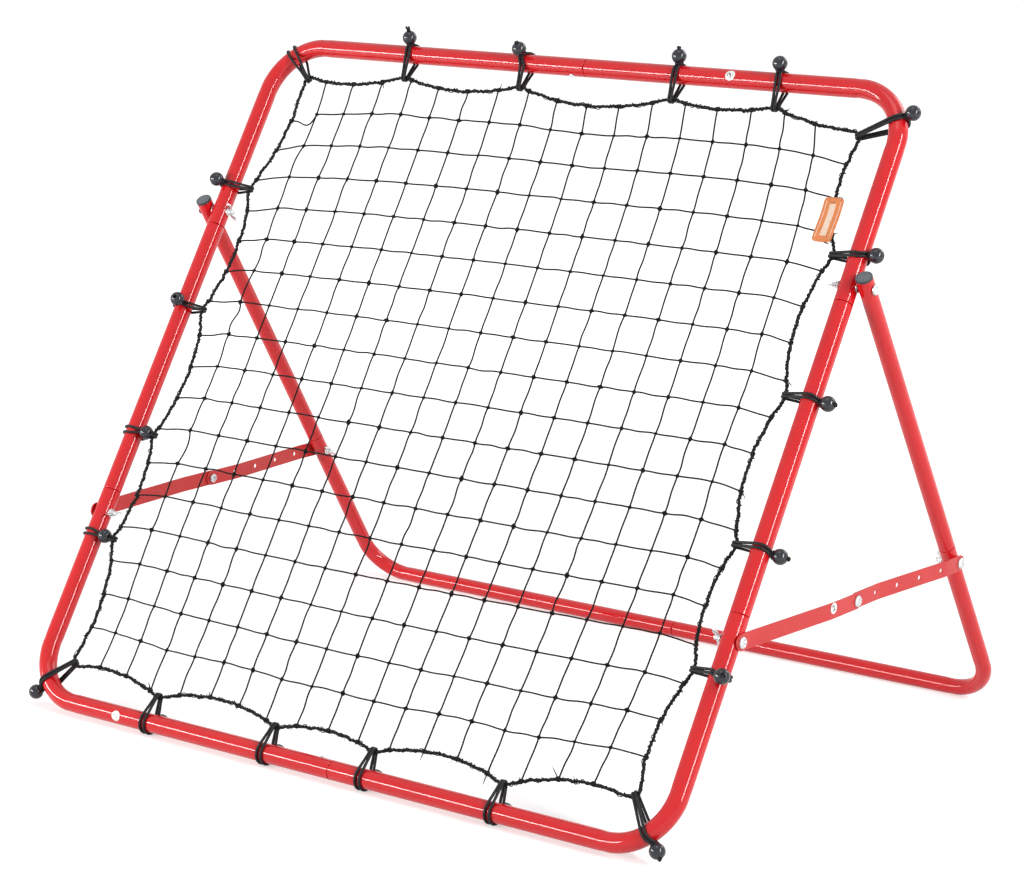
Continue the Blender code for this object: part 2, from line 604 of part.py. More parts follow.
def stay_hardware(front, rear, front_axes, rear_axes):
    """Bolts and wing nuts at both ends of the stays, and the elbow bolt and nut between the bars."""
    front_at_tube, front_at_elbow, rear_at_elbow, rear_at_leg = stay_places()
    tube_inboard = HALF_WIDTH - vertex_radius(FRONT_RADIUS, TUBE_SIDES) - FIT_GAP
    leg_inboard = LEG_X - vertex_radius(REAR_RADIUS, TUBE_SIDES) - FIT_GAP
    beyond = WING_NUT_HEIGHT + BOLT_END_BEYOND_NUT
    head_gap = STAY_THICKNESS + FIT_GAP
    for side, side_name in ((-1, "left"), (1, "right")):
        add_bolt(f"stay_front_bolt_{side_name}", front, side, STAY_BOLT_HEIGHT, front_at_tube + head_gap,
                 tube_inboard - beyond)
        add_wing_nut(f"stay_front_wing_nut_{side_name}", front, side, STAY_BOLT_HEIGHT, tube_inboard)
        add_bolt(f"stay_rear_bolt_{side_name}", rear, side, PIVOT_TO_STAY, rear_at_leg + head_gap,
                 leg_inboard - beyond)
        add_wing_nut(f"stay_rear_wing_nut_{side_name}", rear, side, PIVOT_TO_STAY, leg_inboard)
        add_bolt(f"stay_elbow_bolt_{side_name}", front_axes[side], side, STAY_HOLE_DISTANCE,
                 front_at_elbow + head_gap, front_at_elbow)
        stub = [(STAY_THICKNESS, 0), (STAY_THICKNESS, BOLT_RADIUS), (-FIT_GAP, BOLT_RADIUS)]
        stub += outlined(ELBOW_NUT_OUTLINE, -FIT_GAP, -ELBOW_NUT_HEIGHT, ELBOW_NUT_DIAMETER / 2)
        add_object(f"stay_elbow_nut_{side_name}", turned(mirrored(stub, side), ROUND_SIDES), rear_axes[side],
                   PLATED, (side * rear_at_elbow, STAY_HOLE_DISTANCE, 0.0))


def corner_places():
    """Rail axis point, outward direction, rope point and ball place of the corner ties."""
    places = {}
    for name, bend_angle, loop_angle, inset, ball_angle, ball_shift in CORNER_TIES:
        side = 1 if "right" in name else -1
        upwards = 1 if "top" in name else -1
        centre = Vector((side * (HALF_WIDTH - FRONT_BEND_RADIUS),
                         (FRONT_HEIGHT - FRONT_BEND_RADIUS) if upwards > 0 else FRONT_BEND_RADIUS))
        crossing = math.radians(bend_angle)
        axis_point = centre + Vector((math.cos(crossing), math.sin(crossing))) * FRONT_BEND_RADIUS
        outward = Vector((math.cos(math.radians(loop_angle)), math.sin(math.radians(loop_angle))))
        places[name] = (axis_point, outward, axis_point - outward * inset, ball_angle, ball_shift)
    return places


def rail_ties():
    """Rail axis point, outward direction, rope point and ball place of the ties along the rails."""
    rails = (("bottom", BOTTOM_TIES, Vector((0, -1)), lambda along: Vector((along, 0.0))),
             ("right", RIGHT_TIES, Vector((1, 0)), lambda along: Vector((HALF_WIDTH, along))),
             ("top", TOP_TIES, Vector((0, 1)), lambda along: Vector((along, FRONT_HEIGHT))),
             ("left", LEFT_TIES, Vector((-1, 0)), lambda along: Vector((-HALF_WIDTH, along))))
    ties = {}
    for rail, places, outward, axis_at in rails:
        for index, (along, ball_angle, ball_shift) in enumerate(places):
            axis_point = axis_at(along)
            rope_point = axis_point - outward * NET_INSET
            ties[f"{rail}_{index + 1}"] = (axis_point, outward, rope_point, ball_angle, ball_shift)
    return ties


def all_ties():
    """Every tie by name."""
    return {**rail_ties(), **corner_places()}


def net_border(cells):
    """The border loop, anticlockwise from the bottom left, as held points and free strand ends.

    Each entry is (key, rough place), where the key is ("held", place) or ("end", side, strand). The rope
    runs straight across each tie. The strands of a side are spaced evenly along its span, and the rope
    takes up each of them where it falls between the ties.
    """
    ties = all_ties()
    half_run = ROPE_STRAIGHT_AT_TIE / 2
    corner_names = ("bottom_left", "bottom_right", "top_right", "top_left")
    sides = (("bottom", 0, 1, NET_INSET), ("right", 1, 1, HALF_WIDTH - NET_INSET),
             ("top", 0, -1, FRONT_HEIGHT - NET_INSET), ("left", 1, -1, NET_INSET - HALF_WIDTH))
    border = []

    def hold(point):
        """Add a point where a tie holds the rope."""
        border.append((("held", point), np.array(point)))

    for number, (side, axis, sense, rope_line) in enumerate(sides):
        start = ties[corner_names[number]]
        across = Vector((-start[1][1], start[1][0]))
        hold(start[2] - across * half_run)
        hold(start[2] + across * half_run)
        run = Vector((0.0, 0.0))
        run[axis] = sense
        low, high = NET_SPANS[side]
        items = []
        for strand in range(1, cells):
            along = low + (high - low) * strand / cells
            rough = np.array((along, rope_line) if axis == 0 else (rope_line, along))
            items.append((sense * along, ("end", side, strand), rough))
        for name, tie in ties.items():
            if name.startswith(side + "_") and name not in corner_names:
                items.append((sense * tie[2][axis], None, tie[2]))
        for _, key, place in sorted(items, key=lambda item: item[0]):
            if key:
                border.append((key, place))
            else:
                hold(place - run * half_run)
                hold(place + run * half_run)
    return border


def net_layout(cells):
    """Rest positions of the knots and of the border, by the force density method.

    Each free point lies at the mean of its neighbours, weighted by the pull per length of what joins
    them: over one cell the rope pulls ROPE_TENSION_PER_STRAND times as hard as a strand, and it is
    pulled equally all the way round. Returns the knots as an array [column, row, 2], the strand ends by
    (side, strand), and the border loop's points in order.
    """
    inner = cells - 1
    low, high = NET_SPANS["bottom"]
    cell = (high - low) / cells
    border = net_border(cells)
    free = {("knot", column, row): column * inner + row for column in range(inner) for row in range(inner)}
    for key, _ in border:
        if key[0] == "end":
            free[key] = len(free)
    links = []
    for number, (key, rough) in enumerate(border):
        next_key, next_rough = border[(number + 1) % len(border)]
        length = max(float(np.linalg.norm(next_rough - rough)), ROPE_STRAIGHT_AT_TIE)
        links.append((key, next_key, ROPE_TENSION_PER_STRAND * cell / length))
    for line in range(inner):
        column_chain = [("end", "bottom", line + 1)]
        column_chain += [("knot", line, row) for row in range(inner)]
        column_chain.append(("end", "top", line + 1))
        row_chain = [("end", "left", line + 1)]
        row_chain += [("knot", column, line) for column in range(inner)]
        row_chain.append(("end", "right", line + 1))
        for chain in (column_chain, row_chain):
            links += [(first, second, 1.0) for first, second in zip(chain, chain[1:])]
    stiffness = np.zeros((len(free), len(free)))
    pull = np.zeros((len(free), 2))
    for first, second, weight in links:
        for one, other in ((first, second), (second, first)):
            if one[0] == "held":
                continue
            index = free[one]
            stiffness[index, index] += weight
            if other[0] == "held":
                pull[index] += weight * np.array(other[1])
            else:
                stiffness[index, free[other]] -= weight
    solved = np.linalg.solve(stiffness, pull)
    knots = solved[:inner * inner].reshape(inner, inner, 2)
    ends = {key[1:]: solved[index] for key, index in free.items() if key[0] == "end"}
    loop = [np.array(key[1]) if key[0] == "held" else ends[key[1:]] for key, _ in border]
    return knots, ends, loop


def net_mesh(knots, ends):
    """The whole net as one body: a small block at each knot, joined by square strands."""
    inner = len(knots)
    half = STRAND_THICKNESS / 2
    stop = vertex_radius(ROPE_DIAMETER / 2, ROPE_SIDES) + STRAND_END_GAP
    bm = bmesh.new()
    blocks = {}
    for column in range(inner):
        for row in range(inner):
            x, y = knots[column, row]
            corners = {}
            for side_x in (-1, 1):
                for side_y in (-1, 1):
                    for side_z in (-1, 1):
                        place = (x + side_x * half, y + side_y * half, side_z * half)
                        corners[side_x, side_y, side_z] = bm.verts.new(place)
            blocks[column, row] = corners
            for side_z in (-1, 1):
                order = ((-1, -1), (1, -1), (1, 1), (-1, 1))
                bm.faces.new([corners[side_x, side_y, side_z] for side_x, side_y in order])

    def mouth(corners, axis, sense):
        """The four corners of a block's face across axis."""
        ring = ((-1, -1), (1, -1), (1, 1), (-1, 1))
        if axis == 0:
            return [corners[sense, first, second] for first, second in ring]
        return [corners[first, sense, second] for first, second in ring]

    def end_ring(block, end, axis):
        """The four corners of a strand's end, a little short of the rope."""
        knot = np.mean([np.array(vert.co[:2]) for vert in block.values()], axis=0)
        away = end - knot
        away = away / np.linalg.norm(away)
        across = np.array((-away[1], away[0])) * (1 if axis == 0 else -1)
        if (axis == 0 and away[0] < 0) or (axis == 1 and away[1] < 0):
            across = -across
        tip = end - away * stop
        ring = []
        for first, second in ((-1, -1), (1, -1), (1, 1), (-1, 1)):
            flat = tip + across * first * half
            ring.append(bm.verts.new((flat[0], flat[1], second * half)))
        return ring

    for line in range(inner):
        for axis, low_side, high_side in ((0, "left", "right"), (1, "bottom", "top")):
            chain = [blocks[(step, line) if axis == 0 else (line, step)] for step in range(inner)]
            for first, second in zip(chain, chain[1:]):
                ring_of_faces(bm, mouth(first, axis, 1), mouth(second, axis, -1))
            for block, side, sense in ((chain[0], low_side, -1), (chain[-1], high_side, 1)):
                ring = end_ring(block, ends[side, line + 1], axis)
                ring_of_faces(bm, mouth(block, axis, sense), ring)
                bm.faces.new(ring)
    return bm


def rope_mesh(loop):
    """The closed border rope, mitred at each point of its loop."""
    radius = vertex_radius(ROPE_DIAMETER / 2, ROPE_SIDES)
    bm = bmesh.new()
    rings = []
    for number, point in enumerate(loop):
        before = point - loop[number - 1]
        after = loop[(number + 1) % len(loop)] - point
        before = before / np.linalg.norm(before)
        after = after / np.linalg.norm(after)
        along = before + after
        along = along / np.linalg.norm(along)
        stretch = 1 / max(float(along @ before), 0.5)
        side = np.array((along[1], -along[0])) * stretch
        ring = []
        for index in range(ROPE_SIDES):
            angle = 2 * math.pi * index / ROPE_SIDES
            flat = point + side * radius * math.cos(angle)
            ring.append(bm.verts.new((flat[0], flat[1], radius * math.sin(angle))))
        rings.append(ring)
    for first, second in zip(rings, rings[1:] + rings[:1]):
        ring_of_faces(bm, first, second)
    return bm


def loop_path(distance, rail_radius):
    """Closed path of a tie's band round the rail and the rope, as (outward shift, radius, angle).

    Two arcs, about the rail at the origin and about the rope at -distance, joined by straight runs. The
    points round the rail are turned so that one of the flats between them lies on the floor.
    """
    touch = rail_touch(distance, rail_radius, LOOP_ROPE_INNER)
    spacing = 2 * touch / (LOOP_RAIL_POINTS - 1)
    first = -FRONT_FACET_TURN - (LOOP_FLATS_BEFORE_FLOOR + 0.5) * spacing
    path = []
    for step in range(LOOP_RAIL_POINTS):
        path.append((0.0, rail_radius, first + spacing * step))
    for step in range(LOOP_ROPE_POINTS):
        angle = touch + 2 * (math.pi - touch) * step / (LOOP_ROPE_POINTS - 1)
        path.append((-distance, LOOP_ROPE_INNER, angle))
    return path


def ball_tie(name, frame, axis_point, outward, rope_point, ball_angle, ball_shift):
    """An elastic band round the rail and the border rope, with the ball that it hooks on."""
    distance = (axis_point - rope_point).length
    at_corner = abs(outward[0]) > 0.1 and abs(outward[1]) > 0.1
    rail_radius = LOOP_INNER + (CORNER_BAND_EASE if at_corner else 0.0)
    out = Vector((outward[0], outward[1], 0.0))
    along = Vector((-outward[1], outward[0], 0.0))
    front = Vector((0, 0, 1))
    bm = bmesh.new()
    rings = []
    for shift, radius, angle in loop_path(distance, rail_radius):
        normal = out * math.cos(angle) + front * math.sin(angle)
        ring = []
        for depth, width in ((0, -1), (TIE_BAND_THICKNESS, -1), (TIE_BAND_THICKNESS, 1), (0, 1)):
            place = out * shift + normal * (radius + depth) + along * width * TIE_BAND_WIDTH / 2
            ring.append(bm.verts.new(place))
        rings.append(ring)
    for first, second in zip(rings, rings[1:] + rings[:1]):
        ring_of_faces(bm, first, second)
    location = (axis_point[0], axis_point[1], 0.0)
    tie = add_object(name, bm, frame, MOULDED, location)
    angle = math.radians(ball_angle)
    reach = rail_radius + TIE_BAND_THICKNESS + BALL_DIAMETER / 2 - BALL_SINK
    ball = bmesh.new()
    bmesh.ops.create_uvsphere(ball, u_segments=BALL_SEGMENTS, v_segments=BALL_RINGS, radius=BALL_DIAMETER / 2)
    bmesh.ops.rotate(ball, verts=ball.verts, matrix=Matrix.Rotation(math.radians(BALL_TURN), 3, "X"))
    middle = (out * math.cos(angle) + front * math.sin(angle)) * reach + along * ball_shift
    bmesh.ops.translate(ball, verts=ball.verts, vec=middle)
    combine(tie, cutter(name + "_ball", ball, frame, location), "UNION")


def tag(loop, frame):
    """A plain tag that hangs in front of the border rope on the right."""
    right = sorted((y, x) for x, y in loop if x > HALF_WIDTH / 2)
    rope_x = float(np.interp(TAG_HEIGHT_ON_FRAME, *np.transpose(right)))
    low_z = vertex_radius(ROPE_DIAMETER / 2, ROPE_SIDES) + FIT_GAP
    bm = box((-TAG_WIDTH + TAG_ROPE_INSET, -TAG_LENGTH / 2, low_z),
             (TAG_ROPE_INSET, TAG_LENGTH / 2, low_z + TAG_THICKNESS))
    add_object("net_tag", bm, frame, WOVEN, (rope_x, TAG_HEIGHT_ON_FRAME, 0.0))


def net_and_ties(frame):
    """The net, its border rope, the tag and all ball ties."""
    knots, ends, loop = net_layout(NET_CELLS)
    add_object("net", net_mesh(knots, ends), frame, CORDED)
    add_object("border_rope", rope_mesh(loop), frame, CORDED)
    tag(loop, frame)
    for name, place in all_ties().items():
        ball_tie("ball_tie_" + name, frame, *place)


def stand_on_floor(assembly):
    """Move the whole assembly so that its box is centred on the origin and stands on the floor."""
    bpy.context.view_layer.update()
    graph = bpy.context.evaluated_depsgraph_get()
    lows, highs = [], []
    for piece in bpy.context.scene.objects:
        if piece.type != "MESH" or piece.hide_render:
            continue
        evaluated = piece.evaluated_get(graph)
        places = np.array([evaluated.matrix_world @ vert.co for vert in evaluated.data.vertices])
        lows.append(places.min(axis=0))
        highs.append(places.max(axis=0))
    low = np.min(lows, axis=0)
    high = np.max(highs, axis=0)
    assembly.location = (-(low[0] + high[0]) / 2, -(low[1] + high[1]) / 2, -low[2])
    bpy.context.view_layer.update()


def build():
    """Model the rebounder, open and standing on its two frames."""
    for old in list(bpy.data.objects):
        bpy.data.objects.remove(old, do_unlink=True)
    assembly = empty("rebounder", (0, 0, 0))
    front = empty("front_frame_axis", (0, 0, RAIL_HEIGHT), LEAN, assembly)
    pivot = Vector((0, PIVOT_HEIGHT * math.cos(LEAN), RAIL_HEIGHT + PIVOT_HEIGHT * math.sin(LEAN)))
    rear = empty("rear_frame_axis", pivot, -LEG_SLOPE, assembly)
    stay_turn = (math.pi - OPEN_ANGLE) / 2
    front_axes, rear_axes = {}, {}
    for side, name in ((-1, "left"), (1, "right")):
        front_axes[side] = empty(f"stay_front_axis_{name}", (0, STAY_BOLT_HEIGHT, 0), -stay_turn, front)
        rear_axes[side] = empty(f"stay_rear_axis_{name}", (0, PIVOT_TO_STAY, 0), math.pi + stay_turn, rear)
    tubes = front_tubes(front)
    drill_front_tubes(tubes, front)
    rail_screws(front)
    rear_tubes(rear)
    stays(front_axes, rear_axes)
    pivot_hardware(front)
    stay_hardware(front, rear, front_axes, rear_axes)
    net_and_ties(front)
    stand_on_floor(assembly)


build()
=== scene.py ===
"""Soccer rebounder, dressed: round powder-coated tubes, a knotted net on a hairy border rope, elastic ball
ties and bright zinc fasteners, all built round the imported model.

The front frame's own axes are X across, Y up the frame and Z out of the net towards the player; the rear
frame's run down its legs. Lengths are in metres and angles in degrees unless a name says otherwise.
"""

import json
import logging
import math
from collections.abc import Sequence
from dataclasses import dataclass, field
from enum import Enum

import bmesh
import bpy
import numpy as np
from mathutils import Matrix, Vector

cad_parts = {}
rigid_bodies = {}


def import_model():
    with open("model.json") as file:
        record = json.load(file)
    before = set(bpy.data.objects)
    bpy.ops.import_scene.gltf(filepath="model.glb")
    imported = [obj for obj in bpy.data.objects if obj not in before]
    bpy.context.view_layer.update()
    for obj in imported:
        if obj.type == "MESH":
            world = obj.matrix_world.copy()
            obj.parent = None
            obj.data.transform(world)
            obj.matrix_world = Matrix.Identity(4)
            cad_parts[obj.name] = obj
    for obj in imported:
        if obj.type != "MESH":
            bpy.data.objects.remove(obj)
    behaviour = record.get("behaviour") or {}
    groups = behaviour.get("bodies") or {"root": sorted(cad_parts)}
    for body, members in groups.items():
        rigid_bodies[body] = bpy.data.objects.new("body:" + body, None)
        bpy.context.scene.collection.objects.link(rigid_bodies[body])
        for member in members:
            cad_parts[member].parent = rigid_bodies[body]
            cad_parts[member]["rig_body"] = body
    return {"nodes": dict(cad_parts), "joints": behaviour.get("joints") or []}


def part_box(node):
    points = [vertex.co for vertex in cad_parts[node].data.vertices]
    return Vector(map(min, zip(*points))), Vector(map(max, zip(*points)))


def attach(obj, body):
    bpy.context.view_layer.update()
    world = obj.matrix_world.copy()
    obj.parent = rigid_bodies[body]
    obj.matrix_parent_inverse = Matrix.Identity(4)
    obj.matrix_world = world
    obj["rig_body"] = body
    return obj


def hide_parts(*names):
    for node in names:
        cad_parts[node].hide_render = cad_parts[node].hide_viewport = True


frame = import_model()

LOG = logging.getLogger("rebounder")
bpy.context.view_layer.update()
SEED = 11
FULL_TURN = 2 * math.pi
Array = np.ndarray
Point = tuple[float, float, float]
Color = tuple[float, float, float]

# A part's own axes: across the rebounder, along the part and out of its plane
ACROSS, ALONG, OUTWARDS = np.eye(3)

# How cords are meshed: the weld distance leaves their fine points apart, and only hard turns stay sharp
CORD_MESH = {"weld": 1e-7, "sharp": 80}


class Side(Enum):
    """The two sides of the rebounder, by the sign of X."""

    LEFT = -1
    RIGHT = 1

    @property
    def word(self) -> str:
        """The side's name in the nodes' names."""
        return self.name.lower()


class TubeEnd(Enum):
    """How a tube ends."""

    SOCKET = "cut square and open"
    SPIGOT = "drawn in to slide into its neighbour"


class BallEnd(Enum):
    """What shows in the outer hole of a tie's ball."""

    OPEN = "open hole"
    PLAIN = "faint dimple"
    KNOT = "stopper knot"
    TAILS = "two cut ends"


@dataclass(frozen=True)
class FrameSizes:
    """Sizes that several sub-assemblies share, measured between tube axes."""

    front_width: float = 0.976
    front_height: float = 0.951
    front_radius: float = 0.012
    front_bend: float = 0.072
    rear_radius: float = 0.0105
    rear_bend: float = 0.057
    wall: float = 0.0012
    leg_length: float = 0.682
    leg_above_pivot: float = 0.0145
    pivot_height: float = 0.697
    stay_bolt_height: float = 0.255
    seam_high: float = 0.675
    seam_low: float = 0.285
    rail_seam_x: float = 0.018
    rear_seam_x: float = 0.022
    leg_seam_above_stay: float = 0.026
    gap: float = 0.0003

    @property
    def half_width(self) -> float:
        """Distance from the middle to a side tube's axis."""
        return self.front_width / 2

    @property
    def pivot_to_stay(self) -> float:
        """Distance from the pivot to each stay's end bolt."""
        return self.pivot_height - self.stay_bolt_height


SIZES = FrameSizes()


def unit(vectors: Array) -> Array:
    """The vectors at a length of one, along the last axis."""
    return vectors / np.linalg.norm(vectors, axis=-1, keepdims=True)


def smooth_step(values: Array) -> Array:
    """Rise from 0 to 1 with level ends: 3t^2 - 2t^3 of the value held between 0 and 1."""
    held = np.clip(values, 0.0, 1.0)
    return held * held * (3 - 2 * held)


@dataclass(frozen=True)
class Placement:
    """A part's own axes in the row frame: X is across the rebounder, Y along the part, Z square to both."""

    origin: Array
    along: Array

    @classmethod
    def between(cls, start: Array, end: Array) -> "Placement":
        """Axes at start whose Y points at end, in the plane X = 0."""
        away = np.array([0.0, end[1] - start[1], end[2] - start[2]])
        return cls(np.array([0.0, start[1], start[2]]), unit(away))

    def out(self, points: Array) -> Array:
        """Points [..., 3] of the own axes, in the row frame."""
        axes = np.stack([ACROSS, self.along, np.cross(ACROSS, self.along)])
        return self.origin + np.asarray(points, float) @ axes


def joint_point(name: str) -> Array:
    """The point on a joint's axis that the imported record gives."""
    return np.array(next(joint["pos_m"] for joint in frame["joints"] if joint["name"] == name))


@dataclass(frozen=True)
class Layout:
    """The placements of the two frames and of the stay bars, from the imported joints."""

    front: Placement
    rear: Placement
    front_stay: Placement
    rear_stay: Placement

    @classmethod
    def from_joints(cls, stay_length: float) -> "Layout":
        """Work the placements out from the pivot and the two stay bolts.

        Args:
            stay_length: Distance between a stay bar's end holes.

        Returns:
            The four placements; the elbow lies where both bars reach.
        """
        pivot = joint_point("rear_frame_swing")
        front_bolt = joint_point("front_stay_left_fold")
        rear_bolt = joint_point("rear_stay_left_fold")
        rail = Placement.between(pivot, front_bolt).out([0.0, SIZES.pivot_height, 0.0])
        elbow = Placement.between(front_bolt, rear_bolt).out([0.0, stay_length, 0.0])
        return cls(Placement.between(rail, pivot), Placement.between(pivot, rear_bolt),
                   Placement.between(front_bolt, elbow), Placement.between(rear_bolt, elbow))


def in_scene(name: str, data: bpy.types.ID) -> bpy.types.Object:
    """A new object in the scene that holds the data."""
    thing = bpy.data.objects.new(name, data)
    bpy.context.scene.collection.objects.link(thing)
    return thing


def thicken(piece: bpy.types.Object, thickness: float) -> None:
    """Give a sheet of faces a wall, half of it to each side."""
    wall = piece.modifiers.new("wall", "SOLIDIFY")
    wall.thickness = thickness
    wall.offset = 0.0


@dataclass
class MeshBuilder:
    """Gathers grids of points into one mesh.

    A grid has rows along a shape and columns around it; each face joins a point to the next along and
    around. The UV map holds the share around in U and the metres along in V.
    """

    points: list[Array] = field(default_factory=list)
    faces: list[Array] = field(default_factory=list)
    coords: list[Array] = field(default_factory=list)
    finishes: list[Array] = field(default_factory=list)
    count: int = 0

    def add(self, grid: Array, closed_rows: bool = False, closed_columns: bool = True,
            length: float = 1.0, finish: int = 0) -> None:
        """Add one grid, or a batch of equal grids.

        Args:
            grid: Points as [row, column, 3] or [copy, row, column, 3].
            closed_rows: Whether the last row joins the first.
            closed_columns: Whether the last column joins the first.
            length: Metres along the rows, for the UV map.
            finish: Number of the material.
        """
        batch = grid if grid.ndim == 4 else grid[None]
        copies, rows, columns, _ = batch.shape
        row = np.arange(rows if closed_rows else rows - 1)[:, None, None]
        column = np.arange(columns if closed_columns else columns - 1)[None, :, None]
        row = row + np.array([0, 0, 1, 1]) + 0 * column
        column = column + np.array([0, 1, 1, 0]) + 0 * row
        index = ((row % rows) * columns + column % columns).reshape(-1, 4)
        start = self.count + np.arange(copies)[:, None, None] * rows * columns
        spans = rows if closed_rows else rows - 1
        uv = np.stack([column / columns, row / spans * length], axis=-1).reshape(-1, 4, 2)
        self.points.append(batch.reshape(-1, 3))
        self.faces.append((index[None] + start).reshape(-1, 4))
        self.coords.append(np.broadcast_to(uv, (copies, *uv.shape)).reshape(-1, 2))
        self.finishes.append(np.full(copies * len(index), finish))
        self.count += copies * rows * columns

    def made(self, name: str, *materials: bpy.types.Material, weld: float = 1e-6,
             sharp: float = 42.0) -> bpy.types.Object:
        """Put the gathered grids into an object at the origin.

        Args:
            name: The piece's name.
            materials: Its materials, in the order of the finish numbers.
            weld: Distance at which points are merged, which closes poles and seams.
            sharp: Edges that turn by more than this many degrees are shaded sharp.

        Returns:
            The object, with its faces pointing out.
        """
        mesh = bpy.data.meshes.new(name)
        mesh.from_pydata(np.concatenate(self.points).tolist(), [], np.concatenate(self.faces).tolist())
        mesh.uv_layers.new(name="surface").data.foreach_set("uv", np.concatenate(self.coords).ravel())
        mesh.polygons.foreach_set("material_index", np.concatenate(self.finishes))
        for material in materials:
            mesh.materials.append(material)
        shape = bmesh.new()
        shape.from_mesh(mesh)
        bmesh.ops.remove_doubles(shape, verts=shape.verts, dist=weld)
        bmesh.ops.recalc_face_normals(shape, faces=shape.faces)
        shape.to_mesh(mesh)
        shape.free()
        mesh.shade_smooth()
        mesh.set_sharp_from_angle(angle=math.radians(sharp))
        return in_scene(name, mesh)


def settle(piece: bpy.types.Object, node: str) -> bpy.types.Object:
    """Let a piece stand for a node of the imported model, on that node's body, and log it."""
    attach(piece, frame["nodes"][node]["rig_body"])
    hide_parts(node)
    LOG.info("%s stands for %s", piece.name, node)
    return piece


def heading(angle: Array) -> Array:
    """Unit vectors (cos, sin) of angles in radians, along a new last axis."""
    return np.stack([np.cos(angle), np.sin(angle)], axis=-1)


def circle(sides: int) -> Array:
    """Unit circle as [side, 2]."""
    return heading(FULL_TURN * np.arange(sides) / sides)


def raised(points: Array, height: Array | float = 0.0) -> Array:
    """Points [..., 2] of a plane as [..., 3], at a height over it."""
    return np.concatenate([points, np.broadcast_to(height, points.shape[:-1])[..., None]], axis=-1)


def carried(centres: Array, across: Array, upward: Array, section: Array) -> Array:
    """A section carried along a path: point = centre + section x * across + section y * upward.

    Args:
        centres: Points of the path, [..., row, 3].
        across: Unit vectors of the section's X, [..., row, 3].
        upward: Unit vectors of its Y, [..., row, 3].
        section: The section's points, [..., row, column, 2], or with fewer leading axes.

    Returns:
        The grid [..., row, column, 3].
    """
    return (centres[..., None, :] + section[..., 0:1] * across[..., None, :]
            + section[..., 1:2] * upward[..., None, :])


def path_sides(points: Array, reference: Array, closed: bool = False) -> tuple[Array, Array]:
    """Unit vectors square to a path: the reference with its part along the path taken out, and the third."""
    if closed:
        ahead = np.roll(points, -1, axis=-2) - np.roll(points, 1, axis=-2)
    else:
        ahead = np.gradient(points, axis=-2)
    along = unit(ahead)
    across = unit(reference - (reference * along).sum(-1, keepdims=True) * along)
    return across, np.cross(along, across)


def cord_grid(points: Array, radius: Array | float, reference: Array, sides: int = 8,
              closed: bool = False) -> Array:
    """A round cord along a path; the radius is one number or one for each row."""
    across, upward = path_sides(points, reference, closed)
    girth = np.asarray(radius, float)
    if girth.ndim:
        girth = girth[..., None, None]
    return carried(points, across, upward, circle(sides) * girth)


@dataclass(frozen=True)
class Spindle:
    """A turning axis: a point on it, its direction, and the direction where the turn starts."""

    origin: Array
    axis: Array
    start: Array

    @property
    def side(self) -> Array:
        """The direction a quarter turn on from the start."""
        return np.cross(self.axis, self.start)

    def turn(self, profile: Array, sides: int = 32, swell: Array | float = 1.0) -> Array:
        """Turn a profile: point = origin + distance * axis + radius * swell * direction of the angle.

        Args:
            profile: (distance along the axis, radius) points, [row, 2].
            sides: Number of columns.
            swell: Factor on the radius, one number or [row, side].

        Returns:
            The grid [row, side, 3].
        """
        profile = np.asarray(profile, float)
        radius = profile[:, 1:2] * swell * np.ones(sides)
        ring = circle(sides)
        flat = ring[:, :1] * self.start + ring[:, 1:] * self.side
        return self.origin + profile[:, :1, None] * self.axis + radius[..., None] * flat[None]

    def ring(self, angle: Array, radius: float, height: Array | float) -> Array:
        """Points [n, 3] about the axis, at angles in radians and at heights along it."""
        ways = heading(angle)
        return (self.origin + raised(radius * ways, height) @ np.stack([self.start, self.side, self.axis]))


def arc(centre: tuple[float, float], radius: float, start: float, end: float, steps: int) -> Array:
    """Points of an arc, from the start to the end angle in degrees."""
    return np.array(centre) + radius * heading(np.radians(np.linspace(start, end, steps)))


@dataclass
class Wiring:
    """Adds nodes to a tree and joins them."""

    tree: bpy.types.NodeTree

    def feed(self, node: bpy.types.Node, inputs: dict) -> None:
        """Link each input to an output socket or set its value, by the input's name or number."""
        for key, value in inputs.items():
            if isinstance(value, bpy.types.NodeSocket):
                self.tree.links.new(value, node.inputs[key])
            else:
                node.inputs[key].default_value = value

    def node(self, kind: str, inputs: dict | None = None, **settings: object) -> bpy.types.Node:
        """Add a node.

        Args:
            kind: The node's type name without its ShaderNode start.
            inputs: A value or an output socket for each input, by the input's name or number.
            settings: The node's own properties.

        Returns:
            The new node.
        """
        made = self.tree.nodes.new("ShaderNode" + kind)
        for key, value in settings.items():
            setattr(made, key, value)
        self.feed(made, inputs or {})
        return made

    def math(self, operation: str, *values: object) -> bpy.types.NodeSocket:
        """The result of a Math node."""
        return self.node("Math", dict(enumerate(values)), operation=operation).outputs[0]

    def mix(self, share: object, first: object, second: object) -> bpy.types.NodeSocket:
        """Two colours mixed by a share."""
        return self.node("Mix", {0: share, 6: first, 7: second}, data_type="RGBA").outputs[2]


def new_group(name: str, inputs: Sequence[tuple[str, str, object]], outputs: Sequence[tuple[str, str]]
              ) -> tuple[Wiring, bpy.types.Node, bpy.types.Node]:
    """An empty node group with named sockets.

    Args:
        name: The group's name.
        inputs: (name, kind, default) of each input, where kind is Float, Color or Vector.
        outputs: (name, kind) of each output.

    Returns:
        The wiring, the group's input node and its output node.
    """
    tree = bpy.data.node_groups.new(name, "ShaderNodeTree")
    for title, kind, default in inputs:
        socket = tree.interface.new_socket(name=title, in_out="INPUT", socket_type="NodeSocket" + kind)
        if default is not None:
            socket.default_value = default
    for title, kind in outputs:
        tree.interface.new_socket(name=title, in_out="OUTPUT", socket_type="NodeSocket" + kind)
    return Wiring(tree), tree.nodes.new("NodeGroupInput"), tree.nodes.new("NodeGroupOutput")


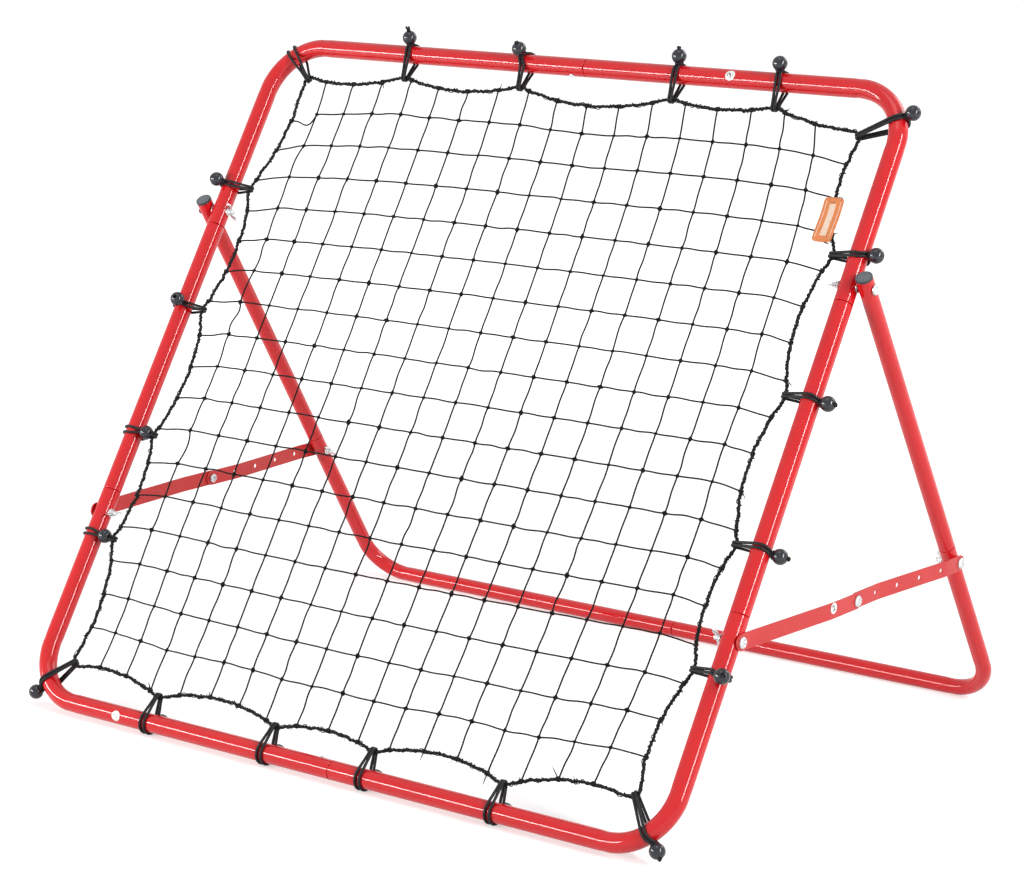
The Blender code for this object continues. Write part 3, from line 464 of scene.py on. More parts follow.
def grain_group() -> bpy.types.NodeTree:
    """Slow clouds in the colour and fine grain in the roughness and height, which all hard finishes use.

    Color = base mixed towards the darker or lighter tone by large noise; Roughness = base + fine noise
    times its spread; Height = the fine noise.
    """
    grey = (0.5, 0.5, 0.5, 1)
    wiring, start, end = new_group(
        "surface_grain",
        (("Vector", "Vector", None), ("Color", "Color", grey), ("Tone", "Color", grey),
         ("Clouds", "Float", 20.0), ("Grain", "Float", 400.0), ("Roughness", "Float", 0.3),
         ("Roughness spread", "Float", 0.1)),
        (("Color", "Color"), ("Roughness", "Float"), ("Height", "Float")))
    given = start.outputs
    clouds = wiring.node("TexNoise", {"Vector": given["Vector"], "Scale": given["Clouds"], "Detail": 3.0,
                                      "Roughness": 0.55})
    grain = wiring.node("TexNoise", {"Vector": given["Vector"], "Scale": given["Grain"], "Detail": 2.0,
                                     "Roughness": 0.5})
    share = wiring.node("MapRange", {"Value": clouds.outputs["Fac"], "From Min": 0.3, "From Max": 0.7})
    swing = wiring.math("SUBTRACT", grain.outputs["Fac"], 0.5)
    swing = wiring.math("MULTIPLY", swing, given["Roughness spread"])
    wiring.feed(end, {"Color": wiring.mix(share.outputs[0], given["Color"], given["Tone"]),
                      "Roughness": wiring.math("ADD", swing, given["Roughness"]),
                      "Height": grain.outputs["Fac"]})
    return wiring.tree


def lay_group() -> bpy.types.NodeTree:
    """The lay of a twisted or braided cord, from its UV map.

    One family of ridges is sin(2 pi (lines * metres along + strands * share around)); the other slants the
    opposite way and counts by the braid's share. Height is the higher of the two, and Color goes from the
    valley colour to the lighter ridge colour with it, broken up by fine fibres: a painted highlight along
    the ridges of the lay.
    """
    wiring, start, end = new_group(
        "cord_lay",
        (("UV", "Vector", None), ("Valley", "Color", (0, 0, 0, 1)), ("Ridge", "Color", (0.1, 0.1, 0.1, 1)),
         ("Lines", "Float", 300.0), ("Strands", "Float", 2.0), ("Braid", "Float", 0.0),
         ("Fibres", "Float", 2500.0)),
        (("Color", "Color"), ("Height", "Float")))
    given = start.outputs
    parts = wiring.node("SeparateXYZ", {0: given["UV"]})
    along = wiring.math("MULTIPLY", parts.outputs[1], given["Lines"])
    around = wiring.math("MULTIPLY", parts.outputs[0], given["Strands"])
    waves = [wiring.math("SINE", wiring.math("MULTIPLY", wiring.math(operation, along, around), FULL_TURN))
             for operation in ("ADD", "SUBTRACT")]
    # The ridge wave sets the height and where the painted highlight goes
    ridge = wiring.math("MAXIMUM", waves[0], wiring.math("MULTIPLY", waves[1], given["Braid"]))
    place = wiring.node("Mapping", {"Vector": given["UV"], "Scale": (0.008, 1.0, 1.0)})
    fibres = wiring.node("TexNoise", {"Vector": place.outputs[0], "Scale": given["Fibres"], "Detail": 3.0})
    height = wiring.math("MULTIPLY_ADD", ridge, 0.35, 0.5)
    broken = wiring.math("MULTIPLY", height, fibres.outputs["Fac"])
    share = wiring.node("MapRange", {"Value": broken, "From Min": 0.12, "From Max": 0.55})
    wiring.feed(end, {"Color": wiring.mix(share.outputs[0], given["Valley"], given["Ridge"]),
                      "Height": broken})
    return wiring.tree


def shared_group(name: str) -> bpy.types.NodeTree:
    """A node group by name, built the first time that it is asked for."""
    builders = {"surface_grain": grain_group, "cord_lay": lay_group}
    return bpy.data.node_groups.get(name) or builders[name]()


def opaque(color: Color) -> tuple[float, float, float, float]:
    """The colour with full cover."""
    return (*color, 1.0)


def new_material(name: str, **sockets: object) -> tuple[bpy.types.Material, Wiring, bpy.types.Node]:
    """A material with a Principled shader.

    Args:
        name: The material's name.
        sockets: Values of the shader's own inputs, with _ for spaces in their names.

    Returns:
        The material, its wiring and its shader.
    """
    material = bpy.data.materials.new(name)
    material.use_nodes = True
    shader = material.node_tree.nodes["Principled BSDF"]
    for key, value in sockets.items():
        shader.inputs[key.replace("_", " ")].default_value = value
    return material, Wiring(material.node_tree), shader


@dataclass(frozen=True)
class Finish:
    """A surface whose colour and relief come from a shared node group."""

    name: str

    def made(self, group: str, place: tuple[str, str], values: dict, relief: tuple[float, float],
             **sockets: float) -> bpy.types.Material:
        """The material, made once and shared by name.

        Args:
            group: The node group's name.
            place: The group's input for the place, and the Texture Coordinate output that feeds it.
            values: The group's other inputs.
            relief: The bump's strength, and its distance in metres.
            sockets: Values of the shader's own inputs, with _ for spaces in their names.

        Returns:
            The material.
        """
        found = bpy.data.materials.get(self.name)
        if found:
            return found
        material, wiring, shader = new_material(self.name, **sockets)
        source = wiring.node("TexCoord").outputs[place[1]]
        look = wiring.node("Group", {place[0]: source, **values}, node_tree=shared_group(group))
        bump = wiring.node("Bump", {"Height": look.outputs["Height"], "Strength": relief[0],
                                    "Distance": relief[1]})
        wiring.feed(shader, {"Base Color": look.outputs["Color"], "Normal": bump.outputs[0]})
        if "Roughness" in look.outputs:
            wiring.feed(shader, {"Roughness": look.outputs["Roughness"]})
        return material


@dataclass(frozen=True)
class HardFinish(Finish):
    """A hard surface: powder coat, plated steel or moulded plastic, by its values."""

    color: Color
    tone: Color
    roughness: float
    roughness_spread: float
    clouds: float = 14.0
    grain: float = 420.0
    bump: float = 0.02
    metallic: float = 0.0
    specular: float = 0.5

    def material(self) -> bpy.types.Material:
        """Clouds of a second tone and fine grain, both in the piece's own space."""
        values = {"Color": opaque(self.color), "Tone": opaque(self.tone), "Clouds": self.clouds,
                  "Grain": self.grain, "Roughness": self.roughness, "Roughness spread": self.roughness_spread}
        return self.made("surface_grain", ("Vector", "Object"), values, (self.bump, 0.0004),
                         Metallic=self.metallic, Specular_IOR_Level=self.specular)


@dataclass(frozen=True)
class CordFinish(Finish):
    """A cord's surface: its lay, its fibres and a little sheen."""

    valley: Color
    # Lighter colour on the ridges of the lay: a painted highlight
    ridge: Color
    lines: float
    strands: float
    braid: float
    fibres: float
    roughness: float
    bump: float
    specular: float = 0.2

    def material(self) -> bpy.types.Material:
        """Ridges with a painted highlight, and fibres, along the cord's UV map."""
        values = {"Valley": opaque(self.valley), "Ridge": opaque(self.ridge), "Lines": self.lines,
                  "Strands": self.strands, "Braid": self.braid, "Fibres": self.fibres}
        return self.made("cord_lay", ("UV", "UV"), values, (self.bump, 0.0005), Roughness=self.roughness,
                         Sheen_Weight=0.03, Sheen_Roughness=0.4, Specular_IOR_Level=self.specular)


POWDER_RED = HardFinish("red_powder_coat", (0.64, 0.010, 0.014), (0.59, 0.007, 0.011), 0.07, 0.02,
                        bump=0.002, specular=0.42)
BAR_RED = HardFinish("red_bar_coat", (0.58, 0.036, 0.034), (0.53, 0.026, 0.026), 0.3, 0.1, specular=0.3)
ZINC = HardFinish("bright_zinc", (0.68, 0.69, 0.70), (0.54, 0.55, 0.56), 0.3, 0.12, 90, 900, metallic=1.0)
CAP_GREY = HardFinish("cap_grey", (0.115, 0.135, 0.155), (0.095, 0.11, 0.13), 0.5, 0.12, 60, 1500, 0.2)
# Painted shade: a darker grey for the cap's lip and stem, standing in for the shade at its edge and in the gap
# to the tube
CAP_LIP_SHADE = HardFinish("cap_edge", (0.03, 0.035, 0.04), (0.02, 0.024, 0.028), 0.5, 0.12, 60, 1500, 0.2)
BALL_BLACK = HardFinish("ball_black", (0.012, 0.014, 0.020), (0.017, 0.020, 0.027), 0.12, 0.06, 120, 700)
STICKER_WHITE = HardFinish("sticker_white", (0.86, 0.86, 0.84), (0.78, 0.78, 0.76), 0.35, 0.1, 120, 900, 0.05)
STICKER_INK = HardFinish("sticker_ink", (0.02, 0.02, 0.025), (0.05, 0.05, 0.055), 0.4, 0.1, 200, 900)
# The cords' ridge colours are painted highlights along their lay; the valley colours are the cords' own
ELASTIC = CordFinish("elastic_cord", (0.003, 0.003, 0.004), (0.024, 0.024, 0.027), 420, 4, 1, 1400, 0.5, 0.45)
ROPE = CordFinish("border_rope_fibre", (0.002, 0.002, 0.002), (0.024, 0.024, 0.025), 75, 3, 0, 1200, 0.8, 0.8)
STRAND = CordFinish("net_strand", (0.002, 0.002, 0.002), (0.012, 0.012, 0.013), 260, 2, 0, 1800, 0.7, 0.5,
                    specular=0.1)


@dataclass(frozen=True)
class TubePath:
    """A straight run, then a quarter bend, then a straight run, in the plane of a frame."""

    start: tuple[float, float]
    first_way: tuple[float, float]
    second_way: tuple[float, float] = (0.0, 0.0)
    first_run: float = math.inf
    bend_radius: float = 0.0

    @property
    def before_last_run(self) -> float:
        """Metres along the path to the end of the bend."""
        return self.first_run + self.bend_radius * math.pi / 2

    def at(self, along: Array) -> tuple[Array, Array, Array]:
        """Centres, sideways vectors and the share through the bend at each distance along the path.

        On the first run the point is start + along * first way; in the bend it is the run's end plus
        radius * (sin * first way + (1 - cos) * second way); after it the second run goes on straight.
        """
        first = np.array([*self.first_way, 0.0])
        second = np.array([*self.second_way, 0.0])
        start = np.array([*self.start, 0.0])
        if math.isinf(self.first_run):
            centres = start + along[:, None] * first
            ways = np.broadcast_to(first, centres.shape)
            share = np.zeros(len(along))
        else:
            turned = np.clip((along - self.first_run) / self.bend_radius, 0, math.pi / 2)[:, None]
            straight = np.minimum(along, self.first_run)[:, None]
            beyond = np.maximum(along - self.before_last_run, 0)[:, None]
            centres = (start + straight * first + beyond * second
                       + self.bend_radius * (np.sin(turned) * first + (1 - np.cos(turned)) * second))
            ways = np.cos(turned) * first + np.sin(turned) * second
            share = turned[:, 0] / (math.pi / 2)
        return centres, np.stack([ways[:, 1], -ways[:, 0], 0 * ways[:, 0]], axis=-1), share


@dataclass
class Tube:
    """One steel tube with its wall, its rounded cut ends or drawn-in spigots, and its bend."""

    name: str
    path: TubePath
    length: float
    radius: float
    ends: tuple[TubeEnd, TubeEnd]
    sides: int = 44
    lip: float = 0.0004
    shoulder: float = 0.0011
    spigot: float = 0.048
    support: float = 0.0005
    bend_steps: int = 30
    bend_squeeze: float = 0.045
    dent: float = 0.00035
    dent_reach: float = 0.006

    def end_profile(self, kind: TubeEnd) -> Array:
        """(distance into the tube, radius) points from the inner wall, round the end, to the outer wall."""
        inner = self.radius - SIZES.wall
        if kind is TubeEnd.SOCKET:
            bore = [(3 * self.lip, inner), (self.lip / 2, inner), (0, inner + self.lip / 2)]
            outer_lip = arc((self.lip, self.radius - self.lip), self.lip, 180, 90, 5)
            return np.vstack([bore, outer_lip, [(self.lip + self.support, self.radius)]])
        thin = inner - SIZES.gap
        share = np.linspace(0, 1, 7)
        rise = thin + (self.radius - thin) * smooth_step(share)
        slope = np.stack([share * self.shoulder, rise], axis=-1)
        tip = [(0, thin - SIZES.wall), (-self.spigot, thin - SIZES.wall), (-self.spigot, thin - self.lip),
               (self.lip - self.spigot, thin), (-self.lip, thin)]
        return np.vstack([tip, slope, [(self.shoulder + self.support, self.radius)]])

    def profile(self) -> tuple[Array, Array]:
        """Distances along the path and radii, round the whole wall: out along the outside and back inside.

        At each end of the bend the outside has the tool's dent, dent * exp(-(distance / reach)^2) deep.
        """
        first = self.end_profile(self.ends[0])
        last = self.end_profile(self.ends[1])[::-1] * (-1, 1) + (self.length, 0)
        ends = np.array([self.path.first_run, self.path.before_last_run])
        near = np.linspace(-2, 2, 13) * self.dent_reach
        bend = np.sort(np.concatenate([np.linspace(*ends, self.bend_steps + 1), *(ends[:, None] + near)]))
        bend = np.unique(bend[np.isfinite(bend)].round(6))
        dents = np.exp(-((bend[:, None] - ends[None]) / self.dent_reach) ** 2).sum(axis=1)
        outside = np.stack([bend, self.radius - self.dent * dents], axis=-1)
        inside = np.stack([bend[::-1], np.full(len(bend), self.radius - SIZES.wall)], axis=-1)
        rows = np.vstack([first, outside, last, inside])
        return rows[:, 0], rows[:, 1]

    def build(self, placement: Placement) -> None:
        """Carry the wall's profile along the path, with the section squeezed a little inside the bend."""
        along, radius = self.profile()
        centres, sideways, share = self.path.at(along)
        squeeze = 1 - self.bend_squeeze * np.sin(share * math.pi) ** 2
        section = circle(self.sides)[None] * radius[:, None, None]
        section = section * np.stack([squeeze, 1 + (1 - squeeze) / 3], axis=-1)[:, None, :]
        upward = np.broadcast_to(OUTWARDS, sideways.shape)
        wall = placement.out(carried(centres, sideways, upward, section))
        builder = MeshBuilder()
        builder.add(wall, closed_rows=True, length=self.length)
        piece = builder.made(self.name + "_skin", POWDER_RED.material())
        settle(piece, self.name)


def corner_tube(name: str, side: Side, x: float, seam: float, rail: float, bend: float, radius: float,
                rail_seam: float) -> Tube:
    """A tube from its side seam, round the bend, to the seam near the middle of its rail.

    Args:
        name: The node's name.
        side: The side of the rebounder; the right tube ends in a spigot that the left one takes.
        x: Distance of the side run from the middle.
        seam: Where the side run starts, along the frame.
        rail: Where the rail lies, along the frame.
        bend: Radius of the bend.
        radius: The tube's own radius.
        rail_seam: X of the rail's seam.

    Returns:
        The tube.
    """
    sense = 1 if rail > seam else -1
    path = TubePath((side.value * x, seam + sense * SIZES.gap), (0.0, sense), (-side.value, 0.0),
                    abs(rail - seam) - bend - SIZES.gap, bend)
    length = path.before_last_run + (x - bend - side.value * rail_seam)
    if side is Side.RIGHT:
        return Tube(name, path, length, radius, (TubeEnd.SOCKET, TubeEnd.SPIGOT))
    return Tube(name, path, length - SIZES.gap, radius, (TubeEnd.SOCKET, TubeEnd.SOCKET))


@dataclass
class FrontFrame:
    """The leaning frame: four bent corner tubes and two straight side tubes."""

    placement: Placement

    def build(self) -> None:
        """Build the six tubes."""
        low, high = SIZES.seam_low, SIZES.seam_high
        for side in Side:
            for level, seam, rail in (("bottom", low, 0.0), ("top", high, SIZES.front_height)):
                corner_tube(f"front_tube_{level}_{side.word}", side, SIZES.half_width, seam, rail,
                            SIZES.front_bend, SIZES.front_radius, SIZES.rail_seam_x).build(self.placement)
            path = TubePath((side.value * SIZES.half_width, low), (0.0, 1.0))
            Tube(f"front_tube_side_{side.word}", path, high - low, SIZES.front_radius,
                 (TubeEnd.SPIGOT, TubeEnd.SPIGOT)).build(self.placement)


@dataclass
class RearFrame:
    """The folding frame: two legs with capped tops and two bent tubes that meet in the rear bar.

    The cap's face has a ring pressed into it: (height over the face, share of the radius) points.
    """

    placement: Placement
    leg_x: float
    cap_rim: float = 0.003
    cap_depth: float = 0.010
    cap_lip: float = 0.0009
    cap_sides: int = 44
    cap_face: tuple[tuple[float, float], ...] = ((0.0, 0.86), (-0.00025, 0.82), (0.0, 0.78), (0.0001, 0.4),
                                                 (0.00012, 0.0))

    def cap(self, side: Side) -> None:
        """A plug with a flat face and a rounded lip; the stem and the lip take a darker grey, painted shade at
        the cap's edge.
        """
        face = SIZES.gap + self.cap_rim
        radius = SIZES.rear_radius
        plug = radius - SIZES.wall - SIZES.gap
        edge = arc((face - self.cap_lip, radius - self.cap_lip), self.cap_lip, 90, 0, 6)
        stem = [(-self.cap_depth, 0), (-self.cap_depth, plug), (SIZES.gap, plug), (SIZES.gap, radius)]
        top = [(face + lift, radius * share) for lift, share in self.cap_face]
        end = self.placement.out([side.value * self.leg_x, -SIZES.leg_above_pivot, 0.0])
        spindle = Spindle(end, -self.placement.along, ACROSS)
        builder = MeshBuilder()
        # The stem and the rounded lip get the darker grey: painted shade at the cap's edge and in the gap to
        # the tube
        builder.add(spindle.turn(np.vstack([stem, edge]), self.cap_sides), finish=1)
        builder.add(spindle.turn(np.vstack([edge[-1:], top]), self.cap_sides))
        piece = builder.made(f"leg_cap_{side.word}_plug", CAP_GREY.material(), CAP_LIP_SHADE.material())
        settle(piece, f"leg_cap_{side.word}")

    def build(self) -> None:
        """Build the legs, the corners and the caps."""
        seam = SIZES.pivot_to_stay - SIZES.leg_seam_above_stay
        for side in Side:
            leg = TubePath((side.value * self.leg_x, -SIZES.leg_above_pivot), (0.0, 1.0))
            Tube(f"rear_leg_{side.word}", leg, seam + SIZES.leg_above_pivot, SIZES.rear_radius,
                 (TubeEnd.SOCKET, TubeEnd.SPIGOT)).build(self.placement)
            corner_tube(f"rear_corner_{side.word}", side, self.leg_x, seam, SIZES.leg_length, SIZES.rear_bend,
                        SIZES.rear_radius, SIZES.rear_seam_x).build(self.placement)
            self.cap(side)


@dataclass
class StayBar:
    """A flat bar with round ends and drilled holes, sloped sideways between its two flats."""

    name: str
    placement: Placement
    side: Side
    inner_x: float
    rise: float
    flats: tuple[float, float]
    holes: tuple[tuple[float, float], ...]
    length: float = 0.236
    width: float = 0.020
    thickness: float = 0.002
    edge: float = 0.0004
    hole_sides: int = 48
    hole_rings: int = 5
    run_step: float = 0.004

    def hole_patch(self, place: float, radius: float) -> Array:
        """The square of bar about a hole: rings that go from the hole's circle to the patch's outline.

        The outline lies half the width from the middle along and across, and is a half circle past the
        end holes. Returns (along, across) points, [ring, side, 2].
        """
        half = self.width / 2
        ring = circle(self.hole_sides)
        outline = half / np.abs(ring).max(axis=1)
        ahead = ring[:, 0]
        past_end = ahead < -1e-9 if place < half else (ahead > 1e-9) & (place > self.length - half)
        outline = np.where(past_end, half, outline)
        share = np.linspace(0, 1, self.hole_rings)[:, None]
        reach = radius + (outline[None] - radius) * share
        return np.array([place, 0.0]) + reach[..., None] * ring[None]

    def build(self) -> None:
        """Lay out patches and plain runs between them, slope them and give them a wall.

        The middle surface lies at inner x + thickness / 2 + rise * share of the way between the flats.
        """
        half = self.width / 2
        eighth = self.hole_sides // 8
        across = half * np.tan(FULL_TURN * np.arange(-eighth, eighth + 1) / self.hole_sides)
        flat = [self.hole_patch(place, diameter / 2) for place, diameter in self.holes]
        places = [place for place, _ in self.holes]
        for before, after in zip(places, places[1:]):
            low, high = before + half, after - half
            along = np.linspace(low, high, max(2, round((high - low) / self.run_step) + 1))
            flat.append(np.stack(np.meshgrid(along, across, indexing="ij"), axis=-1))
        slope = self.length - sum(self.flats)
        builder = MeshBuilder()
        for number, patch in enumerate(flat):
            share = np.clip((patch[..., 0] - self.flats[0]) / slope, 0.0, 1.0)
            x = self.inner_x + self.thickness / 2 + self.rise * share
            points = np.stack([self.side.value * x, patch[..., 0], patch[..., 1]], axis=-1)
            builder.add(self.placement.out(points), closed_columns=number < len(places))
        piece = builder.made(self.name + "_plate", BAR_RED.material(), weld=2e-6)
        thicken(piece, self.thickness)
        rounding = piece.modifiers.new("rounding", "BEVEL")
        rounding.width = self.edge
        rounding.segments = 2
        rounding.limit_method = "ANGLE"
        rounding.angle_limit = math.radians(50)
        rounding.harden_normals = True
        settle(piece, self.name)


@dataclass(frozen=True)
class Hardware:
    """Makes the turned fasteners: pan-head bolts, wing nuts, lock nuts, washers and rail screws.

    The ear of a wing nut follows a curve with three control points, as (height, distance from the axis).
    At its root it has the first half width and half thickness; it swells and thins by the second ones.
    The lock nut's outline holds (share of the height, share of the flat) points.
    """

    bolt_radius: float = 0.003
    head_radius: float = 0.007
    head_height: float = 0.0036
    head_sides: int = 64
    pitch: float = 0.001
    thread: float = 0.012
    thread_depth: float = 0.11
    tip_shares: tuple[float, float, float] = (0.0, 0.78, 0.92)
    shank_sides: int = 24
    screw_radius: float = 0.002
    screw_head_radius: float = 0.0035
    screw_head_height: float = 0.002
    nut_height: float = 0.006
    nut_radius: float = 0.0055
    hexagon_flat: float = 0.0056
    lock_nut_outline: tuple[tuple[float, float], ...] = (
        (0.0, 0.0), (0.0, 1.02), (0.1, 1.12), (0.62, 1.12), (0.72, 1.06), (0.78, 0.9), (0.9, 0.86),
        (1.0, 0.76), (1.0, 0.6), (0.4, 0.56), (0.4, 0.0))
    ear_curve: tuple[tuple[float, float], ...] = ((0.0028, 0.0030), (0.0042, 0.0100), (0.0096, 0.0119))
    ear_closes_from: float = 0.72
    ear_half_width: tuple[float, float] = (0.0023, 0.0017)
    ear_half_thick: tuple[float, float] = (0.00125, 0.0003)
    recess_arm: float = 0.0033
    recess_width: float = 0.0009
    recess_depth: float = 0.0017

    def head(self, spindle: Spindle, seat: float, radius: float, height: float) -> Array:
        """A domed head with a cross recess, as a polar grid from its seat to its middle.

        Height over the seat = height * (1 - (r / R)^4) ^ 0.5 for the dome, less the recess where a point
        lies within an arm's width of either centre line and within the arms' reach.
        """
        share = np.concatenate([[1.0], np.sin(np.linspace(math.pi / 2, 0, 22))])
        dome = height * np.sqrt(np.clip(1 - share ** 4, 0, 1))
        dome[:2] = (0.0, height / 4)
        grid = spindle.turn(np.stack([seat + dome, radius * share], axis=-1), self.head_sides)
        scale = radius / self.head_radius
        flat = np.abs(circle(self.head_sides)[None] * (radius * share)[:, None, None])
        near = flat.min(axis=-1) / (self.recess_width * scale)
        far = flat.max(axis=-1) / (self.recess_arm * scale)
        depth = self.recess_depth * scale * smooth_step(2 * (1.25 - near)) * smooth_step(3 * (1.1 - far))
        return grid - depth[..., None] * spindle.axis

    def shank(self, spindle: Spindle, tip: float, seat: float, radius: float) -> Array:
        """A shank with a screw thread at its tip, cut by depth * triangle(angle / turn - along / pitch)."""
        sides = self.shank_sides
        last = min(tip + self.thread, seat - self.pitch / 2)
        threaded = np.arange(tip + self.pitch / 2, last, self.pitch / 6)
        rows = np.concatenate([[tip, tip, tip + self.pitch / 3], threaded, [seat]])
        girth = np.full(len(rows), radius)
        girth[:3] = radius * np.array(self.tip_shares)
        phase = (np.arange(sides)[None] / sides + rows[:, None] / self.pitch) % 1.0
        depth = np.zeros(len(rows))
        depth[3:-1] = self.thread_depth
        swell = 1 - depth[:, None] * np.abs(2 * phase - 1)
        return spindle.turn(np.stack([rows, girth], axis=-1), sides, swell)

    def bolt(self, node: str, spindle: Spindle, tip: float) -> None:
        """A pan-head bolt: its head stands on the spindle's origin, and its threaded tip lies behind it."""
        builder = MeshBuilder()
        builder.add(self.shank(spindle, tip, 0.0, self.bolt_radius))
        builder.add(spindle.turn([(0, 0), (0, self.head_radius)], self.head_sides))
        builder.add(self.head(spindle, 0.0, self.head_radius, self.head_height))
        settle(builder.made(node + "_pan_head", ZINC.material(), sharp=55), node)

    def screw(self, node: str, spindle: Spindle, seat: float, tip: float) -> None:
        """A small pan-head screw that holds a rail's spigot."""
        radius = self.screw_radius
        profile = [(tip, 0), (tip, radius), (seat, radius), (seat, self.screw_head_radius)]
        builder = MeshBuilder()
        builder.add(spindle.turn(profile, self.head_sides))
        builder.add(self.head(spindle, seat, self.screw_head_radius, self.screw_head_height))
        settle(builder.made(node + "_pan_head", ZINC.material(), sharp=55), node)

    def washer(self, node: str, spindle: Spindle, radius: float, thickness: float) -> None:
        """A flat washer with softened edges."""
        bore, soft = self.bolt_radius + SIZES.gap, thickness / 4
        profile = [(0, bore), (0, radius - soft), (soft, radius), (thickness - soft, radius),
                   (thickness, radius - soft), (thickness, bore)]
        builder = MeshBuilder()
        builder.add(spindle.turn(profile, 44), closed_rows=True)
        settle(builder.made(node + "_ring", ZINC.material()), node)

    def lock_nut(self, node: str, spindle: Spindle, height: float, stub: float) -> None:
        """A hexagon nut with a domed collar, and the bolt's end in it.

        The hexagon's radius is flat / cos(angle from the middle of a flat), cut back by a cone at both ends.
        """
        sides = 72
        angle = FULL_TURN * np.arange(sides) / sides
        hexagon = self.hexagon_flat / np.cos((angle + math.pi / 6) % (math.pi / 3) - math.pi / 6)
        outline = np.array(self.lock_nut_outline)
        radius = np.minimum(outline[:, 1:] * self.hexagon_flat, hexagon[None])
        builder = MeshBuilder()
        builder.add(spindle.turn(np.stack([outline[:, 0] * height, np.ones(len(outline))], axis=-1), sides,
                                 radius))
        bolt_end = [(0, 0), (0, self.bolt_radius), (-stub, self.bolt_radius), (-stub, 0)]
        builder.add(spindle.turn(bolt_end, self.shank_sides))
        settle(builder.made(node + "_hexagon", ZINC.material(), sharp=30), node)

    def ear(self, spindle: Spindle, sense: int) -> Array:
        """One ear of a wing nut: an oval section along a curve that leaves the hub and bends outwards.

        The curve is a quadratic with its three control points. The oval's half width swells from the root
        and closes in a round at the tip, and its half thickness thins a little on the way.
        """
        share = np.linspace(0, 1, 22)
        weights = np.stack([(1 - share) ** 2, 2 * share * (1 - share), share ** 2], axis=-1)
        line = weights @ np.array(self.ear_curve)
        near_tip = np.clip((share - self.ear_closes_from) / (1 - self.ear_closes_from), 0, 1)
        closing = np.sqrt(np.clip(1 - near_tip ** 2, 0, 1))
        root, swell = self.ear_half_width
        half_width = (root + swell * smooth_step(share * 1.5)) * closing
        root, thinning = self.ear_half_thick
        half_thick = (root - thinning * share) * closing ** 0.5
        centres = spindle.origin + line[:, :1] * spindle.axis + sense * line[:, 1:] * spindle.start
        across, upward = path_sides(centres, np.broadcast_to(spindle.side, centres.shape))[::-1]
        section = circle(16)[None] * np.stack([half_width, half_thick], axis=-1)[:, None, :]
        return carried(centres, across, upward, section)

    def wing_nut(self, node: str, spindle: Spindle, turn: float) -> None:
        """A wing nut whose base stands at the spindle's origin; the turn sets its ears about the bolt."""
        start = Matrix.Rotation(math.radians(turn), 3, Vector(spindle.axis)) @ Vector(spindle.start)
        spindle = Spindle(spindle.origin, spindle.axis, np.array(start))
        bore, height, outer, soft = self.bolt_radius, self.nut_height, self.nut_radius, 0.0003
        profile = [(0, bore), (0, outer - soft), (soft, outer), (4 * soft, outer), (0.0016, outer * 0.9),
                   (height * 0.8, outer * 0.76), (height - soft, outer * 0.72), (height, outer * 0.66),
                   (height, bore)]
        builder = MeshBuilder()
        builder.add(spindle.turn(profile, 40), closed_rows=True)
        for sense in (-1, 1):
            builder.add(self.ear(spindle, sense))
        settle(builder.made(node + "_wings", ZINC.material()), node)


